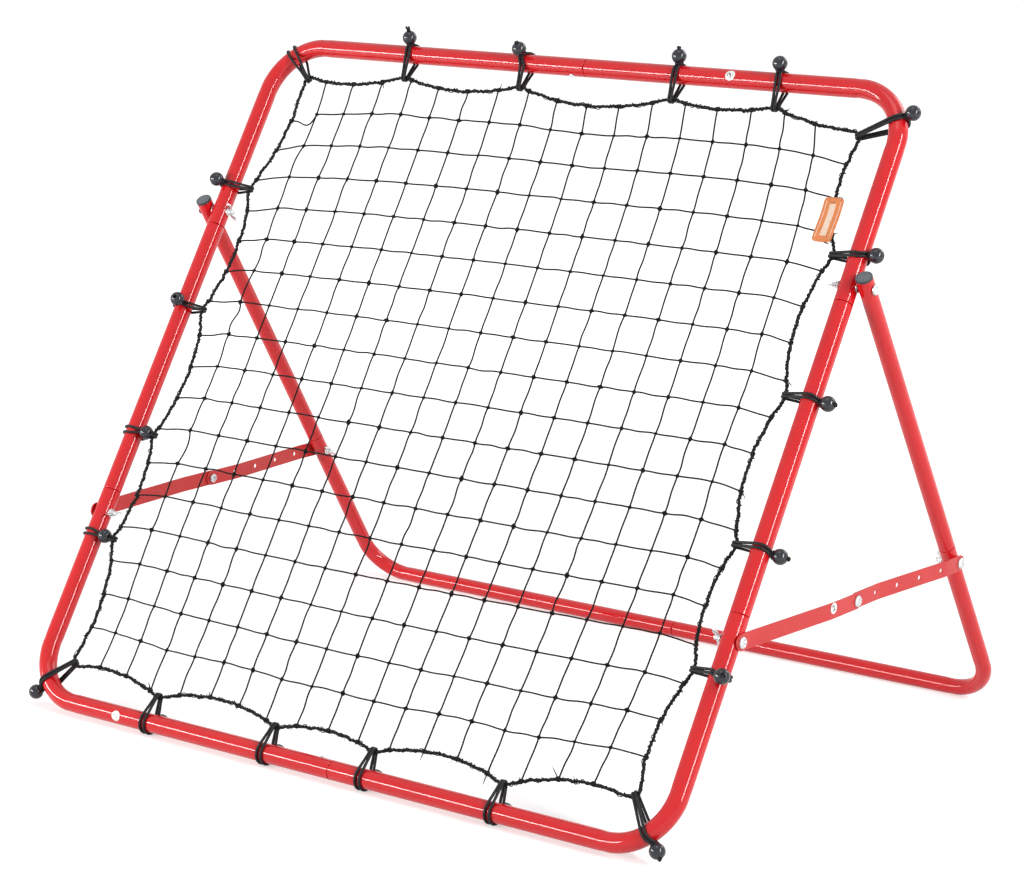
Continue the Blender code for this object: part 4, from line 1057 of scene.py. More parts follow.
@dataclass
class Stays:
    """The two jointed stays with every bolt and nut of both frames."""

    layout: Layout
    leg_x: float
    inner_front: float
    inner_rear: float
    hardware: Hardware
    length: float = 0.236
    elbow_out: float = 0.0122
    thickness: float = 0.002
    bolt_beyond: float = 0.004
    spare_holes: int = 4
    hole: float = 0.0066
    spare_hole: float = 0.006
    flat_at_tube: float = 0.016
    flat_at_leg: float = 0.034
    flat_at_elbow: float = 0.056
    washer_radius: float = 0.0065
    washer_thickness: float = 0.0009
    elbow_nut_height: float = 0.004
    screw_beyond_seam: float = 0.020
    screw_sink: float = 0.0001
    screw_tip: float = 0.009

    @property
    def front_elbow(self) -> float:
        """X of the front bar's inner face at the elbow."""
        return self.inner_front + self.elbow_out

    @property
    def rear_elbow(self) -> float:
        """X of the rear bar's inner face at the elbow."""
        return self.front_elbow - self.thickness - SIZES.gap

    def spindle(self, placement: Placement, side: Side, x: float, y: float, sense: int = 1) -> Spindle:
        """An axis along X at a place on a frame: outwards, or inwards where sense is -1."""
        return Spindle(placement.out([side.value * x, y, 0.0]), side.value * sense * ACROSS, placement.along)

    def bars(self, side: Side) -> None:
        """The front and rear bars of one side."""
        pitch = self.length / (self.spare_holes + 1)
        ends = ((0.0, self.hole), (self.length, self.hole))
        spare = tuple((pitch * (index + 1), self.spare_hole) for index in range(self.spare_holes))
        StayBar(f"stay_front_bar_{side.word}", self.layout.front_stay, side, self.inner_front,
                self.elbow_out, (self.flat_at_tube, self.flat_at_elbow), ends).build()
        StayBar(f"stay_rear_bar_{side.word}", self.layout.rear_stay, side, self.inner_rear,
                self.rear_elbow - self.inner_rear, (self.flat_at_leg, self.flat_at_elbow),
                (ends[0], *spare, ends[1])).build()

    def bolt_set(self, name: str, placement: Placement, side: Side, y: float, outer: float, inner: float,
                 turn: float) -> None:
        """A bolt from outboard and the wing nut on its inboard end.

        Args:
            name: Start of the two nodes' names.
            placement: The frame that the bolt goes through.
            side: The side of the rebounder.
            y: Distance along that frame.
            outer: Distance from the middle to the head's seat.
            inner: Distance from the middle to the wing nut's base.
            turn: Turn of the wing nut's ears.
        """
        tip = inner - self.hardware.nut_height - self.bolt_beyond - outer
        self.hardware.bolt(f"{name}_bolt_{side.word}", self.spindle(placement, side, outer, y), tip)
        inwards = self.spindle(placement, side, inner, y, -1)
        self.hardware.wing_nut(f"{name}_wing_nut_{side.word}", inwards, turn)

    def elbow(self, side: Side) -> None:
        """The elbow's bolt on the front bar and its nut on the rear bar."""
        head = self.thickness + SIZES.gap
        bolt = self.spindle(self.layout.front_stay, side, self.front_elbow + head, self.length)
        self.hardware.bolt(f"stay_elbow_bolt_{side.word}", bolt, -head)
        nut = self.spindle(self.layout.rear_stay, side, self.rear_elbow - SIZES.gap, self.length, -1)
        self.hardware.lock_nut(f"stay_elbow_nut_{side.word}", nut, self.elbow_nut_height, self.thickness)

    def build(self) -> None:
        """Build both stays, the pivots and the fasteners."""
        front, rear = self.layout.front, self.layout.rear
        head = self.thickness + SIZES.gap
        tube, leg = SIZES.front_radius + SIZES.gap, SIZES.rear_radius + SIZES.gap
        in_tube = SIZES.half_width - tube
        for side in Side:
            self.bars(side)
            self.bolt_set("pivot", front, side, SIZES.pivot_height, self.leg_x + leg, in_tube, 62)
            self.bolt_set("stay_front", front, side, SIZES.stay_bolt_height, self.inner_front + head,
                          in_tube, 115)
            self.bolt_set("stay_rear", rear, side, SIZES.pivot_to_stay, self.inner_rear + head,
                          self.leg_x - leg, 25)
            washer = self.spindle(front, side, SIZES.half_width + tube, SIZES.pivot_height)
            self.hardware.washer(f"pivot_washer_{side.word}", washer, self.washer_radius,
                                 self.washer_thickness)
            self.elbow(side)
        for level, y, inward in (("top", SIZES.front_height, -1), ("bottom", 0.0, 1)):
            place = front.out([SIZES.rail_seam_x - self.screw_beyond_seam, y, 0.0])
            self.hardware.screw(f"rail_screw_{level}", Spindle(place, inward * front.along, ACROSS),
                                SIZES.front_radius - self.screw_sink, self.screw_tip)


@dataclass(frozen=True)
class Tie:
    """A ball tie's place on a rail, where its ball lies and how its two cords part.

    The place is the distance from the frame's middle or from the bottom rail. The ball's angle is 0
    outwards, 90 to the front and -90 to the back, and its shift goes anticlockwise along the rail.
    """

    name: str
    place: float
    ball: float
    shift: float = 0.0
    spread: float = 0.0058
    end: BallEnd = BallEnd.KNOT


@dataclass(frozen=True)
class CornerTie:
    """A ball tie at a bend: the angle where it crosses, the way it runs and how far in it holds the rope."""

    name: str
    crossing: float
    way: float
    inset: float
    ball: float
    shift: float = 0.0
    spread: float = 0.0045
    end: BallEnd = BallEnd.OPEN


@dataclass(frozen=True)
class TiePlace:
    """Where a tie lies in the frame's plane."""

    tie: Tie | CornerTie
    axis: Array
    outward: Array
    rope: Array

    @property
    def distance(self) -> float:
        """From the rail's axis to the rope."""
        return float(np.linalg.norm(self.axis - self.rope))


TOP_TIES = (Tie("top_1", -0.265, 44, 0.003, end=BallEnd.TAILS), Tie("top_2", -0.0755, 66, 0.006),
            Tie("top_3", 0.1585, 36, 0.001), Tie("top_4", 0.3085, 38, 0.004, end=BallEnd.PLAIN))
BOTTOM_TIES = tuple(Tie(f"bottom_{number}", place, -111, 0.0, 0.0068)
                    for number, place in enumerate((-0.2825, -0.0885, 0.066, 0.2585), 1))
LEFT_TIES = (Tie("left_1", 0.2226, 167, 0.001, 0.007, BallEnd.OPEN),
             Tie("left_2", 0.3685, 171, -0.002, 0.008, BallEnd.OPEN),
             Tie("left_3", 0.5538, 103, -0.0015, end=BallEnd.OPEN),
             Tie("left_4", 0.7338, 66, end=BallEnd.OPEN))
RIGHT_TIES = (Tie("right_1", 0.213, 52, -0.005, 0.004, BallEnd.TAILS),
              Tie("right_2", 0.366, -15, -0.003, 0.0045), Tie("right_3", 0.5523, 2, -0.0023, 0.0044),
              Tie("right_4", 0.733, 5, 0.005, 0.0044, BallEnd.PLAIN))
CORNER_TIES = (CornerTie("bottom_left", 226, 227, 0.0412, 6, 0.002, end=BallEnd.PLAIN),
               CornerTie("bottom_right", -47, -51, 0.050, -1, 0.004, end=BallEnd.KNOT),
               CornerTie("top_right", 25, 25, 0.0494, 16, 0.0025, end=BallEnd.PLAIN),
               CornerTie("top_left", 129, 137, 0.0465, -53, 0.0, 0.011))


@dataclass
class TieMap:
    """Works out every tie's place in the frame's plane."""

    inset: float = 0.034

    def rail_places(self, side: str) -> list[TiePlace]:
        """The ties along one rail: outward is square to it, and the rope lies an inset in from its axis."""
        half, height = SIZES.half_width, SIZES.front_height
        ties, outward, start, way = {
            "bottom": (BOTTOM_TIES, (0, -1), (0, 0), (1, 0)),
            "right": (RIGHT_TIES, (1, 0), (half, 0), (0, 1)),
            "top": (TOP_TIES, (0, 1), (0, height), (1, 0)),
            "left": (LEFT_TIES, (-1, 0), (-half, 0), (0, 1))}[side]
        out = np.array(outward, float)
        axes = [np.array(start) + tie.place * np.array(way, float) for tie in ties]
        return [TiePlace(tie, axis, out, axis - out * self.inset) for tie, axis in zip(ties, axes)]

    def corner_place(self, tie: CornerTie) -> TiePlace:
        """A corner tie: its axis point is the bend's centre plus the bend radius at the crossing angle."""
        side = 1 if "right" in tie.name else -1
        height = SIZES.front_height - SIZES.front_bend if "top" in tie.name else SIZES.front_bend
        centre = np.array([side * (SIZES.half_width - SIZES.front_bend), height])
        axis = centre + SIZES.front_bend * heading(np.radians(tie.crossing))
        outward = heading(np.radians(tie.way))
        return TiePlace(tie, axis, outward, axis - outward * tie.inset)

    def places(self) -> dict[str, TiePlace]:
        """All ties by name."""
        found = [place for side in ("bottom", "right", "top", "left") for place in self.rail_places(side)]
        found += [self.corner_place(tie) for tie in CORNER_TIES]
        return {place.tie.name: place for place in found}


@dataclass
class NetLayout:
    """Rest positions of the net's knots and of its border, by the force density method.

    Each free point lies at the mean of its neighbours, weighted by the pull per length of what joins them:
    over one cell a side's rope pulls its rope_pulls times as hard as a strand. The ties hold two points of
    the rope each. A span is where a side's first and last cells would end.
    """

    ties: dict[str, TiePlace]
    cells: int = 18
    rope_pulls: tuple[float, ...] = (5.6, 4.9, 7.0, 4.9)
    straight_at_tie: float = 0.008
    inset: float = 0.034
    spans: tuple[tuple[float, float], ...] = ((-0.4441, 0.4256), (0.0538, 0.8997), (-0.4439, 0.4216),
                                              (0.0547, 0.8854))
    held: list[Array] = field(default_factory=list)
    border: list[int] = field(default_factory=list)
    pulls: list[float] = field(default_factory=list)
    rough: list[Array] = field(default_factory=list)

    def hold(self, point: Array, way: Array) -> None:
        """Hold the rope at a tie: two points, half the straight run before and after it."""
        for sense in (-1, 1):
            self.border.append(-1 - len(self.held))
            self.held.append(point + sense * way * self.straight_at_tie / 2)
            self.rough.append(self.held[-1])

    def walk_border(self) -> None:
        """List the border anticlockwise from the bottom left: held points, and strand ends by number.

        Held points are counted -1, -2 and so on. Strand ends have the numbers after the knots', side by side.
        """
        inner = self.cells - 1
        walk = (("bottom", "bottom_left", 0, 1, self.inset),
                ("right", "bottom_right", 1, 1, SIZES.half_width - self.inset),
                ("top", "top_right", 0, -1, SIZES.front_height - self.inset),
                ("left", "top_left", 1, -1, self.inset - SIZES.half_width))
        for number, (side, corner, axis, sense, line) in enumerate(walk):
            first = self.ties[corner]
            self.hold(first.rope, np.array([-first.outward[1], first.outward[0]]))
            way = np.zeros(2)
            way[axis] = sense
            even = np.linspace(*self.spans[number], self.cells + 1)[1:-1]
            items = [(sense * place, (inner + number) * inner + strand, None)
                     for strand, place in enumerate(even)]
            items += [(sense * place.rope[axis], -1, place.rope) for name, place in self.ties.items()
                      if name[:-2] == side]
            for reached, strand, point in sorted(items, key=lambda item: item[0]):
                if point is None:
                    place = [line, line]
                    place[axis] = sense * reached
                    self.border.append(strand)
                    self.rough.append(np.array(place))
                else:
                    self.hold(point, way)
            self.pulls += [self.rope_pulls[number]] * (len(self.border) - len(self.pulls))

    def chains(self) -> tuple[Array, Array]:
        """Point numbers of the columns and of the rows, [strand, point], each from rope to rope."""
        inner = self.cells - 1
        knots = np.arange(inner * inner).reshape(inner, inner)
        bottom, right, top, left = inner * inner + np.arange(4 * inner).reshape(4, inner, 1)
        return np.hstack([bottom, knots, top]), np.hstack([left, knots.T, right])

    def links(self) -> tuple[Array, Array]:
        """Pairs of joined point numbers [n, 2] and the pull of each."""
        strands = np.vstack([np.stack([chain[:, :-1].ravel(), chain[:, 1:].ravel()], axis=-1)
                             for chain in self.chains()])
        rope = np.stack([self.border, np.roll(self.border, -1)], axis=-1)
        rough = np.array(self.rough)
        lengths = np.linalg.norm(np.roll(rough, -1, axis=0) - rough, axis=-1)
        cell = (self.spans[0][1] - self.spans[0][0]) / self.cells
        rope_pull = np.array(self.pulls) * cell / np.maximum(lengths, self.straight_at_tie)
        return np.vstack([strands, rope]), np.concatenate([np.ones(len(strands)), rope_pull])

    def drift(self, points: Array) -> Array:
        """The points of a net tied on unevenly, which sits nearer to the top and right rails than at rest.

        To the right it moves by 10 mm * exp(-((x - 0.16) / 0.3)^2) * step(s / 0.5), and up by
        2 mm + 4 mm * step((s - 0.08) / 0.22); both fade to 0.4 of that over the last 0.17 m below the top.
        """
        x, s = points.T
        fade = 1 - 0.6 * smooth_step((s - 0.77) / 0.17)
        right = 0.010 * np.exp(-((x - 0.16) / 0.3) ** 2) * smooth_step(s / 0.5)
        up = 0.002 + 0.004 * smooth_step((s - 0.08) / 0.22)
        return points + np.stack([right, up], axis=-1) * fade[:, None]

    def solve(self) -> tuple[Array, Array, Array]:
        """Solve for the free points.

        Returns:
            The columns' points [strand, knot, 2] from rope to rope, the rows' the same way, and the
            border's points in order.
        """
        self.walk_border()
        knots = (self.cells - 1) ** 2
        free = knots + 4 * (self.cells - 1)
        total = free + len(self.held)
        pairs, pull = self.links()
        first, second = np.where(pairs < 0, free - 1 - pairs, pairs).T
        matrix = np.zeros((total, total))
        for row, column, share in ((first, first, pull), (second, second, pull), (first, second, -pull),
                                   (second, first, -pull)):
            np.add.at(matrix, (row, column), share)
        held = np.array(self.held)
        points = np.vstack([np.linalg.solve(matrix[:free, :free], -matrix[:free, free:] @ held), held])
        points[:knots] = self.drift(points[:knots])
        columns, rows = self.chains()
        border = np.array(self.border)
        return points[columns], points[rows], points[np.where(border < 0, free - 1 - border, border)]


@dataclass(frozen=True)
class Slack:
    """A loose strand between two knots: which line and segment, its bow and its S."""

    line: int
    segment: int
    bow: float
    ess: float = 0.0


@dataclass
class Net:
    """The knotted net inside its hairy border rope.

    The rope's centre line sways in waves, each by its count round the net. Its girth has lumps, each by its
    count round the net and by how often it turns about the rope. The lacing turns unevenly and is loose in
    places, by waves of the same kind. A hair's length over the rope follows a gamma distribution.
    """

    placement: Placement
    layout: NetLayout
    strand_radius: float = 0.00105
    knot_radius: float = 0.0037
    rope_radius: float = 0.0018
    rope_step: float = 0.0017
    rope_sides: int = 14
    rope_sway: float = 0.00024
    rope_sway_waves: tuple[int, ...] = (61, 97, 151, 223)
    rope_lump: float = 0.075
    rope_lump_waves: tuple[tuple[int, int], ...] = ((331, 1), (457, 2), (601, 0), (719, 1))
    curve_pull: float = 0.8
    lay_pitch: float = 0.014
    lace_turns: int = 330
    lace_radius: float = 0.0006
    lace_off: float = 0.0004
    lace_loose: float = 0.00045
    lace_loose_waves: tuple[int, ...] = (47, 119, 277)
    lace_uneven: float = 0.35
    lace_uneven_waves: tuple[int, ...] = (83, 139, 211)
    whip_turns: float = 2.5
    whip_length: float = 0.0045
    whip_off: float = 0.0005
    wave: float = 0.00042
    wave_shares: tuple[float, ...] = (1.0, 0.7, 0.45)
    hairs: int = 2600
    hair_radius: float = 0.0002
    hair_growth: tuple[float, float] = (2.0, 0.0013)
    hair_lengths: tuple[float, float] = (0.0012, 0.007)
    tail_lengths: tuple[float, float] = (0.004, 0.010)
    tail_pull: float = 12.0
    fibre_curl: float = 0.35
    fibre_taper: tuple[float, ...] = (1.0, 0.95, 0.85, 0.65, 0.15)
    slack_columns: tuple[Slack, ...] = (Slack(0, 6, -0.005), Slack(0, 10, 0.0, 0.003), Slack(0, 11, 0.0016),
                                        Slack(0, 12, -0.001, -0.0012), Slack(0, 15, 0.0022))
    slack_rows: tuple[Slack, ...] = (Slack(16, 0, -0.0105, 0.005),)
    random: np.random.Generator = field(default_factory=lambda: np.random.default_rng(SEED))

    def strands(self, chains: Array, slack: Sequence[Slack]) -> Array:
        """Thin wavy cords between neighbouring knots.

        Along each, the point is the straight line's, moved in the plane and out of it by
        a sin(pi t) + b sin(2 pi t) + c sin(3 pi t), with small random a, b and c; slack ones bow further.
        """
        starts, ends = chains[:, :-1].reshape(-1, 2), chains[:, 1:].reshape(-1, 2)
        share = np.linspace(0, 1, 9)
        waves = np.sin(math.pi * np.outer([1, 2, 3], share))
        sizes = self.random.normal(0, self.wave, (len(starts), 2, 3)) * self.wave_shares
        for loose in slack:
            sizes[loose.line * (chains.shape[1] - 1) + loose.segment, 0, :2] += (loose.bow, loose.ess)
        moved = sizes @ waves
        way = unit(ends - starts)
        line = starts[:, None] + share[None, :, None] * (ends - starts)[:, None]
        side = np.stack([-way[:, 1], way[:, 0]], axis=-1)
        line = line + moved[:, 0, :, None] * side[:, None]
        return cord_grid(raised(line, moved[:, 1]), self.strand_radius, OUTWARDS, 6)

    def knots(self, centres: Array) -> Array:
        """A lump at each crossing, drawn out along the four strands.

        Radius = size * (0.84 + 0.16 cos(4 lon) + 0.2 sin(2 lat) cos(3 lon + turn)); its height out of the
        net is two thirds of its width.
        """
        latitude = np.linspace(-math.pi / 2, math.pi / 2, 7)[None, :, None]
        longitude = (FULL_TURN * np.arange(12) / 12)[None, None, :]
        turn = self.random.uniform(0, FULL_TURN, (len(centres), 1, 1))
        size = self.knot_radius * self.random.uniform(0.8, 1.15, (len(centres), 1, 1))
        radius = size * (0.84 + 0.16 * np.cos(4 * longitude)
                         + 0.2 * np.sin(2 * latitude) * np.cos(3 * longitude + turn))
        flat = (radius * np.cos(latitude))[..., None] * heading(longitude + 0.12 * np.cos(turn))
        return raised(flat, 0.66 * radius * np.sin(latitude)) + raised(centres)[:, None, None]

    def build_net(self, columns: Array, rows: Array) -> None:
        """Strands both ways and a knot at each crossing."""
        builder = MeshBuilder()
        cell = SIZES.front_width / self.layout.cells
        for chains, slack in ((columns, self.slack_columns), (rows, self.slack_rows)):
            builder.add(self.placement.out(self.strands(chains, slack)), length=cell)
        knots = self.knots(columns[:, 1:-1].reshape(-1, 2))
        builder.add(self.placement.out(knots), length=self.knot_radius * 3)
        settle(builder.made("net_strands", STRAND.material(), **CORD_MESH), "net")

    def rope_line(self, border: Array) -> Array:
        """The rope's centre line at even steps: a smooth curve through the border's points, a little uneven.

        Between two points it is the cubic whose ends follow the chord of their neighbours, at curve_pull
        times the length of the stretch.
        """
        ahead = np.roll(border, -1, axis=0)
        t = np.linspace(0, 1, 24, endpoint=False)[None, :, None]
        way = unit(ahead - np.roll(border, 1, axis=0))
        pull = np.linalg.norm(ahead - border, axis=-1, keepdims=True) * self.curve_pull
        leaving = way * pull
        arriving = np.roll(way, -1, axis=0) * pull
        cubic = ((2 * t ** 3 - 3 * t ** 2 + 1) * border[:, None]
                 + (t ** 3 - 2 * t ** 2 + t) * leaving[:, None]
                 + (3 * t ** 2 - 2 * t ** 3) * ahead[:, None] + (t ** 3 - t ** 2) * arriving[:, None])
        cubic = cubic.reshape(-1, 2)
        closed = np.vstack([cubic, cubic[:1]])
        reached = np.concatenate([[0], np.cumsum(np.linalg.norm(np.diff(closed, axis=0), axis=-1))])
        count = round(reached[-1] / self.rope_step)
        even = np.linspace(0, reached[-1], count, endpoint=False)
        line = raised(np.stack([np.interp(even, reached, axis) for axis in closed.T], axis=-1))
        turns = FULL_TURN * np.arange(count) / count
        for waves in self.rope_sway_waves:
            for axis in range(3):
                line[:, axis] += self.rope_sway * np.sin(waves * turns + self.random.uniform(0, FULL_TURN))
        return line

    def rope_grid(self, line: Array) -> tuple[Array, float]:
        """Three twisted strands: radius = mean * (1 + 0.2 cos(3 (angle - turns of the lay)) + lumps)."""
        length = self.rope_step * len(line)
        turns = round(length / self.lay_pitch)
        phase = FULL_TURN * np.arange(len(line))[:, None] / len(line)
        angle = FULL_TURN * np.arange(self.rope_sides)[None] / self.rope_sides
        lumps = sum(self.rope_lump * np.sin(waves * phase + self.random.uniform(0, 6) + count * angle)
                    for waves, count in self.rope_lump_waves)
        radius = self.rope_radius * (1 + 0.2 * np.cos(3 * (angle - turns * phase)) + lumps)
        across, upward = path_sides(line, OUTWARDS, closed=True)
        return carried(line, across, upward, circle(self.rope_sides)[None] * radius[..., None]), length

    def lacing(self, line: Array) -> Array:
        """The strand that laces the net to the rope: rope + radius * (cos(a) across + sin(a) out of the net).

        The angle a turns lace_turns times round the rope, unevenly, and the radius swells where it is loose.
        """
        count = 5 * len(line)
        share = np.arange(count) / count
        rope = np.stack([np.interp(share * len(line), np.arange(len(line) + 1), np.append(axis, axis[0]))
                         for axis in line.T], axis=-1)
        wander = [self.random.uniform(0, 6) for _ in range(6)]

        def waved(counts: Sequence[int], starts: Sequence[float]) -> Array:
            """The sum of sine waves round the net, by their counts and starts."""
            return sum(np.sin(FULL_TURN * count * share + start) for count, start in zip(counts, starts))

        uneven = waved(self.lace_uneven_waves, wander[:3])
        angle = FULL_TURN * (self.lace_turns * share + self.lace_uneven * uneven)
        loose = waved(self.lace_loose_waves, wander[3:]).clip(0, 3)
        radius = self.rope_radius + self.lace_off + self.lace_loose * loose
        across, upward = path_sides(rope, OUTWARDS, closed=True)
        turn = heading(angle) * radius[:, None]
        return rope + turn[:, :1] * across + turn[:, 1:] * upward

    def whippings(self, ends: Array, inwards: Array) -> Array:
        """Where a strand is tied on, it goes whip_turns times round the rope.

        A turn's point is centre + climb * along + radius * (cos * inward + sin * out of the net).
        """
        share = np.linspace(0, 1, 26)[None, :, None]
        angle = FULL_TURN * self.whip_turns * share
        along = raised(np.stack([-inwards[:, 1], inwards[:, 0]], axis=-1))[:, None]
        inward = raised(inwards)[:, None]
        radius = (self.rope_radius + self.whip_off) * self.random.uniform(0.9, 1.15, (len(ends), 1, 1))
        climb = self.whip_length * (share - 0.5)
        line = (raised(ends)[:, None] + climb * along
                + radius * (np.cos(angle) * inward + np.sin(angle) * OUTWARDS))
        return cord_grid(line, self.strand_radius * 0.85, along, 5)

    def fibres(self, starts: Array, ways: Array, lengths: Array, radius: float) -> Array:
        """Fine tapered hairs that leave the rope and curl: start + way * length t + curl * t^2."""
        share = np.linspace(0, 1, len(self.fibre_taper))[None, :, None]
        curl = self.random.normal(0, self.fibre_curl, (len(starts), 1, 3)) * lengths[:, None, None]
        line = starts[:, None] + ways[:, None] * lengths[:, None, None] * share + curl * share ** 2
        taper = radius * np.array(self.fibre_taper)
        return cord_grid(line, np.broadcast_to(taper, line.shape[:2]), np.array([0.3, 0.2, 0.9]), 4)

    def build_rope(self, line: Array, ends: Array, knots: Array) -> None:
        """The border rope with its lacing and the strands' wrappings.

        Args:
            line: The rope's centre line.
            ends: Where the strands are tied on.
            knots: The first knot of each of those strands.
        """
        grid, length = self.rope_grid(line)
        lacing = cord_grid(self.lacing(line), self.lace_radius, OUTWARDS, 5, closed=True)
        builder = MeshBuilder()
        builder.add(self.placement.out(grid), closed_rows=True, length=length)
        builder.add(self.placement.out(lacing), closed_rows=True, length=3 * length)
        builder.add(self.placement.out(self.whippings(ends, unit(knots - ends))), length=0.04)
        piece = builder.made("border_rope_lay", ROPE.material(), **CORD_MESH)
        settle(piece, "border_rope")

    def build_fibres(self, line: Array, ends: Array, knots: Array) -> None:
        """The rope's loose hairs and the strands' cut tails, of the same line, ends and knots."""
        picks = self.random.integers(0, len(line), self.hairs)
        ways = unit(self.random.normal(0, 1, (self.hairs, 3)))
        lengths = self.random.gamma(*self.hair_growth, self.hairs).clip(*self.hair_lengths) + self.rope_radius
        tail_ways = unit(raised(ends - knots) * self.tail_pull + self.random.normal(0, 1, (len(ends), 3)))
        hairs = self.fibres(line[picks], ways, lengths, self.hair_radius)
        tail_lengths = self.random.uniform(*self.tail_lengths, len(ends))
        tails = self.fibres(raised(ends), tail_ways, tail_lengths, self.strand_radius * 0.8)
        builder = MeshBuilder()
        builder.add(self.placement.out(hairs), length=0.005)
        builder.add(self.placement.out(tails), length=0.008)
        piece = builder.made("border_rope_fibres", ROPE.material(), **CORD_MESH)
        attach(piece, "front_frame")
        LOG.info("%s rides on the front frame", piece.name)

    def build(self) -> Array:
        """Build the net and its border, and return the border's points."""
        columns, rows, border = self.layout.solve()
        self.build_net(columns, rows)
        line = self.rope_line(border)
        ends = np.vstack([columns[:, 0], columns[:, -1], rows[:, 0], rows[:, -1]])
        knots = np.vstack([columns[:, 1], columns[:, -2], rows[:, 1], rows[:, -2]])
        self.build_rope(line, ends, knots)
        self.build_fibres(line, ends, knots)
        return border


@dataclass
class BallTie:
    """A doubled elastic cord round the rail and the border rope, with the ball that it hooks on."""

    placement: Placement
    place: TiePlace
    cord_radius: float = 0.0018
    thin_share: float = 0.8
    rope_hold: float = 0.0022
    touching: float = 1.04
    parts_over: float = 70.0
    ball_radius: float = 0.0095
    sink: float = 0.0012
    hole: float = 0.0021
    hole_lip: float = 0.0008
    hole_depth: float = 0.005
    dimple: float = 0.0011
    waist_height: float = 0.00008
    waist_width: float = 0.0003
    neck_ring: float = 0.0044
    neck_length: float = 0.028
    neck_sink: float = 0.0011
    knot_ring: float = 0.0015
    knot_rise: float = 0.0006
    knot_wave: float = 0.0009
    inside_hole: float = 0.003
    stub_way: tuple[float, float] = (0.0062, 0.0016)
    cut_end_way: tuple[float, float] = (0.009, 0.002)
    skin: float = -0.0004

    @property
    def rail_reach(self) -> float:
        """From the rail's axis to the cord's."""
        return SIZES.front_radius + self.cord_radius + self.skin

    def out(self, points: Array) -> Array:
        """Points of (outward, along the rail, front) from the rail's axis, in the row frame."""
        outward = np.array([*self.place.outward, 0.0])
        axes = np.stack([outward, np.cross(OUTWARDS, outward), OUTWARDS])
        return self.placement.out(np.array([*self.place.axis, 0.0]) + np.asarray(points, float) @ axes)

    def cord_line(self, sense: int) -> tuple[Array, float]:
        """One of the two closed cords: an arc round the rail, an arc round the rope and straight runs.

        Both arcs meet the runs at the touching angle 180 - acos((R - r) / distance) from outwards. The two
        cords part by the tie's spread on the rail, parts_over degrees from the ball, and close up side by
        side at the rope and at the ball.
        """
        distance = self.place.distance
        hold = self.rope_hold + self.cord_radius
        touch = math.pi - math.acos((self.rail_reach - hold) / distance)
        rail_arc = self.rail_reach * heading(np.linspace(-touch, touch, 48))
        rope_arc = hold * heading(np.linspace(touch, FULL_TURN - touch, 16)) - (distance, 0)
        run = np.linspace(0, 1, 12)[1:-1, None]
        front = rail_arc[-1] + run * (rope_arc[0] - rail_arc[-1])
        back = rope_arc[-1] + run * (rail_arc[0] - rope_arc[-1])
        line = np.vstack([rail_arc, front, rope_arc, back])
        close = self.cord_radius * self.touching
        angle = np.arctan2(line[:, 1], line[:, 0]) - math.radians(self.place.tie.ball)
        from_ball = np.abs((angle + math.pi) % FULL_TURN - math.pi)
        parted = smooth_step(from_ball / math.radians(self.parts_over))
        near_rope = smooth_step((-line[:, 0] - self.rail_reach * 0.2) / (distance * 0.85))
        half = close + (max(self.place.tie.spread / 2, close) - close) * parted * (1 - near_rope)
        middle = self.place.tie.shift * (1 - parted)
        points = np.stack([line[:, 0], middle + sense * half, line[:, 1]], axis=-1)
        return points, float(np.linalg.norm(np.diff(line, axis=0), axis=-1).sum())

    def ball_spindle(self) -> Spindle:
        """The ball's own axis, from its middle away from the rail."""
        angle = math.radians(self.place.tie.ball)
        way = np.array([math.cos(angle), 0.0, math.sin(angle)])
        reach = self.rail_reach + self.cord_radius + self.ball_radius - self.sink
        axis, zero, side = self.out(np.stack([way, 0 * way, ALONG]))
        middle = self.out(way * reach + ALONG * self.place.tie.shift)
        return Spindle(middle, unit(axis - zero), unit(side - zero))

    def ball_profile(self) -> Array:
        """The ball's outline with a moulding line round its waist and a funnel at its outer pole."""
        plain = self.place.tie.end is BallEnd.PLAIN
        hole = self.dimple if plain else self.hole
        depth = self.hole_depth * (0.1 if plain else 1.0)
        mouth = math.degrees(math.asin((hole + self.hole_lip) / self.ball_radius))
        round_part = arc((0, 0), self.ball_radius, 180, mouth, 40)
        round_part[:, 1] += self.waist_height * np.exp(-(round_part[:, 0] / self.waist_width) ** 2)
        edge = round_part[-1, 0]
        funnel = [(edge - 0.04 * depth, hole + 0.0003), (edge - 0.18 * depth, hole),
                  (edge - depth, hole * 0.9), (edge - depth, 0)]
        return np.vstack([round_part, funnel])

    def knot_lines(self, spindle: Spindle) -> list[Array]:
        """The cord that shows in the ball's outer hole: a stopper knot, or two cut ends.

        The knot is a wavy ring with a stub through it. Stub and ends start in the hole and go so far out
        and sideways; the two cut ends lie side by side and spread a little.
        """
        inside = spindle.origin + spindle.axis * (self.ball_radius - self.inside_hole)
        if self.place.tie.end is BallEnd.KNOT:
            turn = np.linspace(0, FULL_TURN, 20)
            height = self.ball_radius + self.knot_rise + self.knot_wave * np.sin(2 * turn)
            share = np.linspace(0, 1, 8)[:, None]
            outwards, sideways = self.stub_way
            return [spindle.ring(turn, self.knot_ring, height),
                    inside + share * (outwards * spindle.axis + sideways * spindle.side)]
        share = np.linspace(0, 1, 10)[:, None]
        outwards, sideways = self.cut_end_way
        return [inside + share * outwards * spindle.axis + sense * (0.001 + 0.0012 * share) * spindle.start
                + share ** 2 * sideways * spindle.side for sense in (-1, 1)]

    def capped(self, line: Array) -> Array:
        """A short cord along the line, closed by a point at both ends."""
        grid = cord_grid(line, self.cord_radius * self.thin_share, np.array([0.31, 0.87, 0.38]))
        first, last = (np.broadcast_to(end, (1, *grid.shape[1:])) for end in (line[0], line[-1]))
        return np.concatenate([first, grid, last])

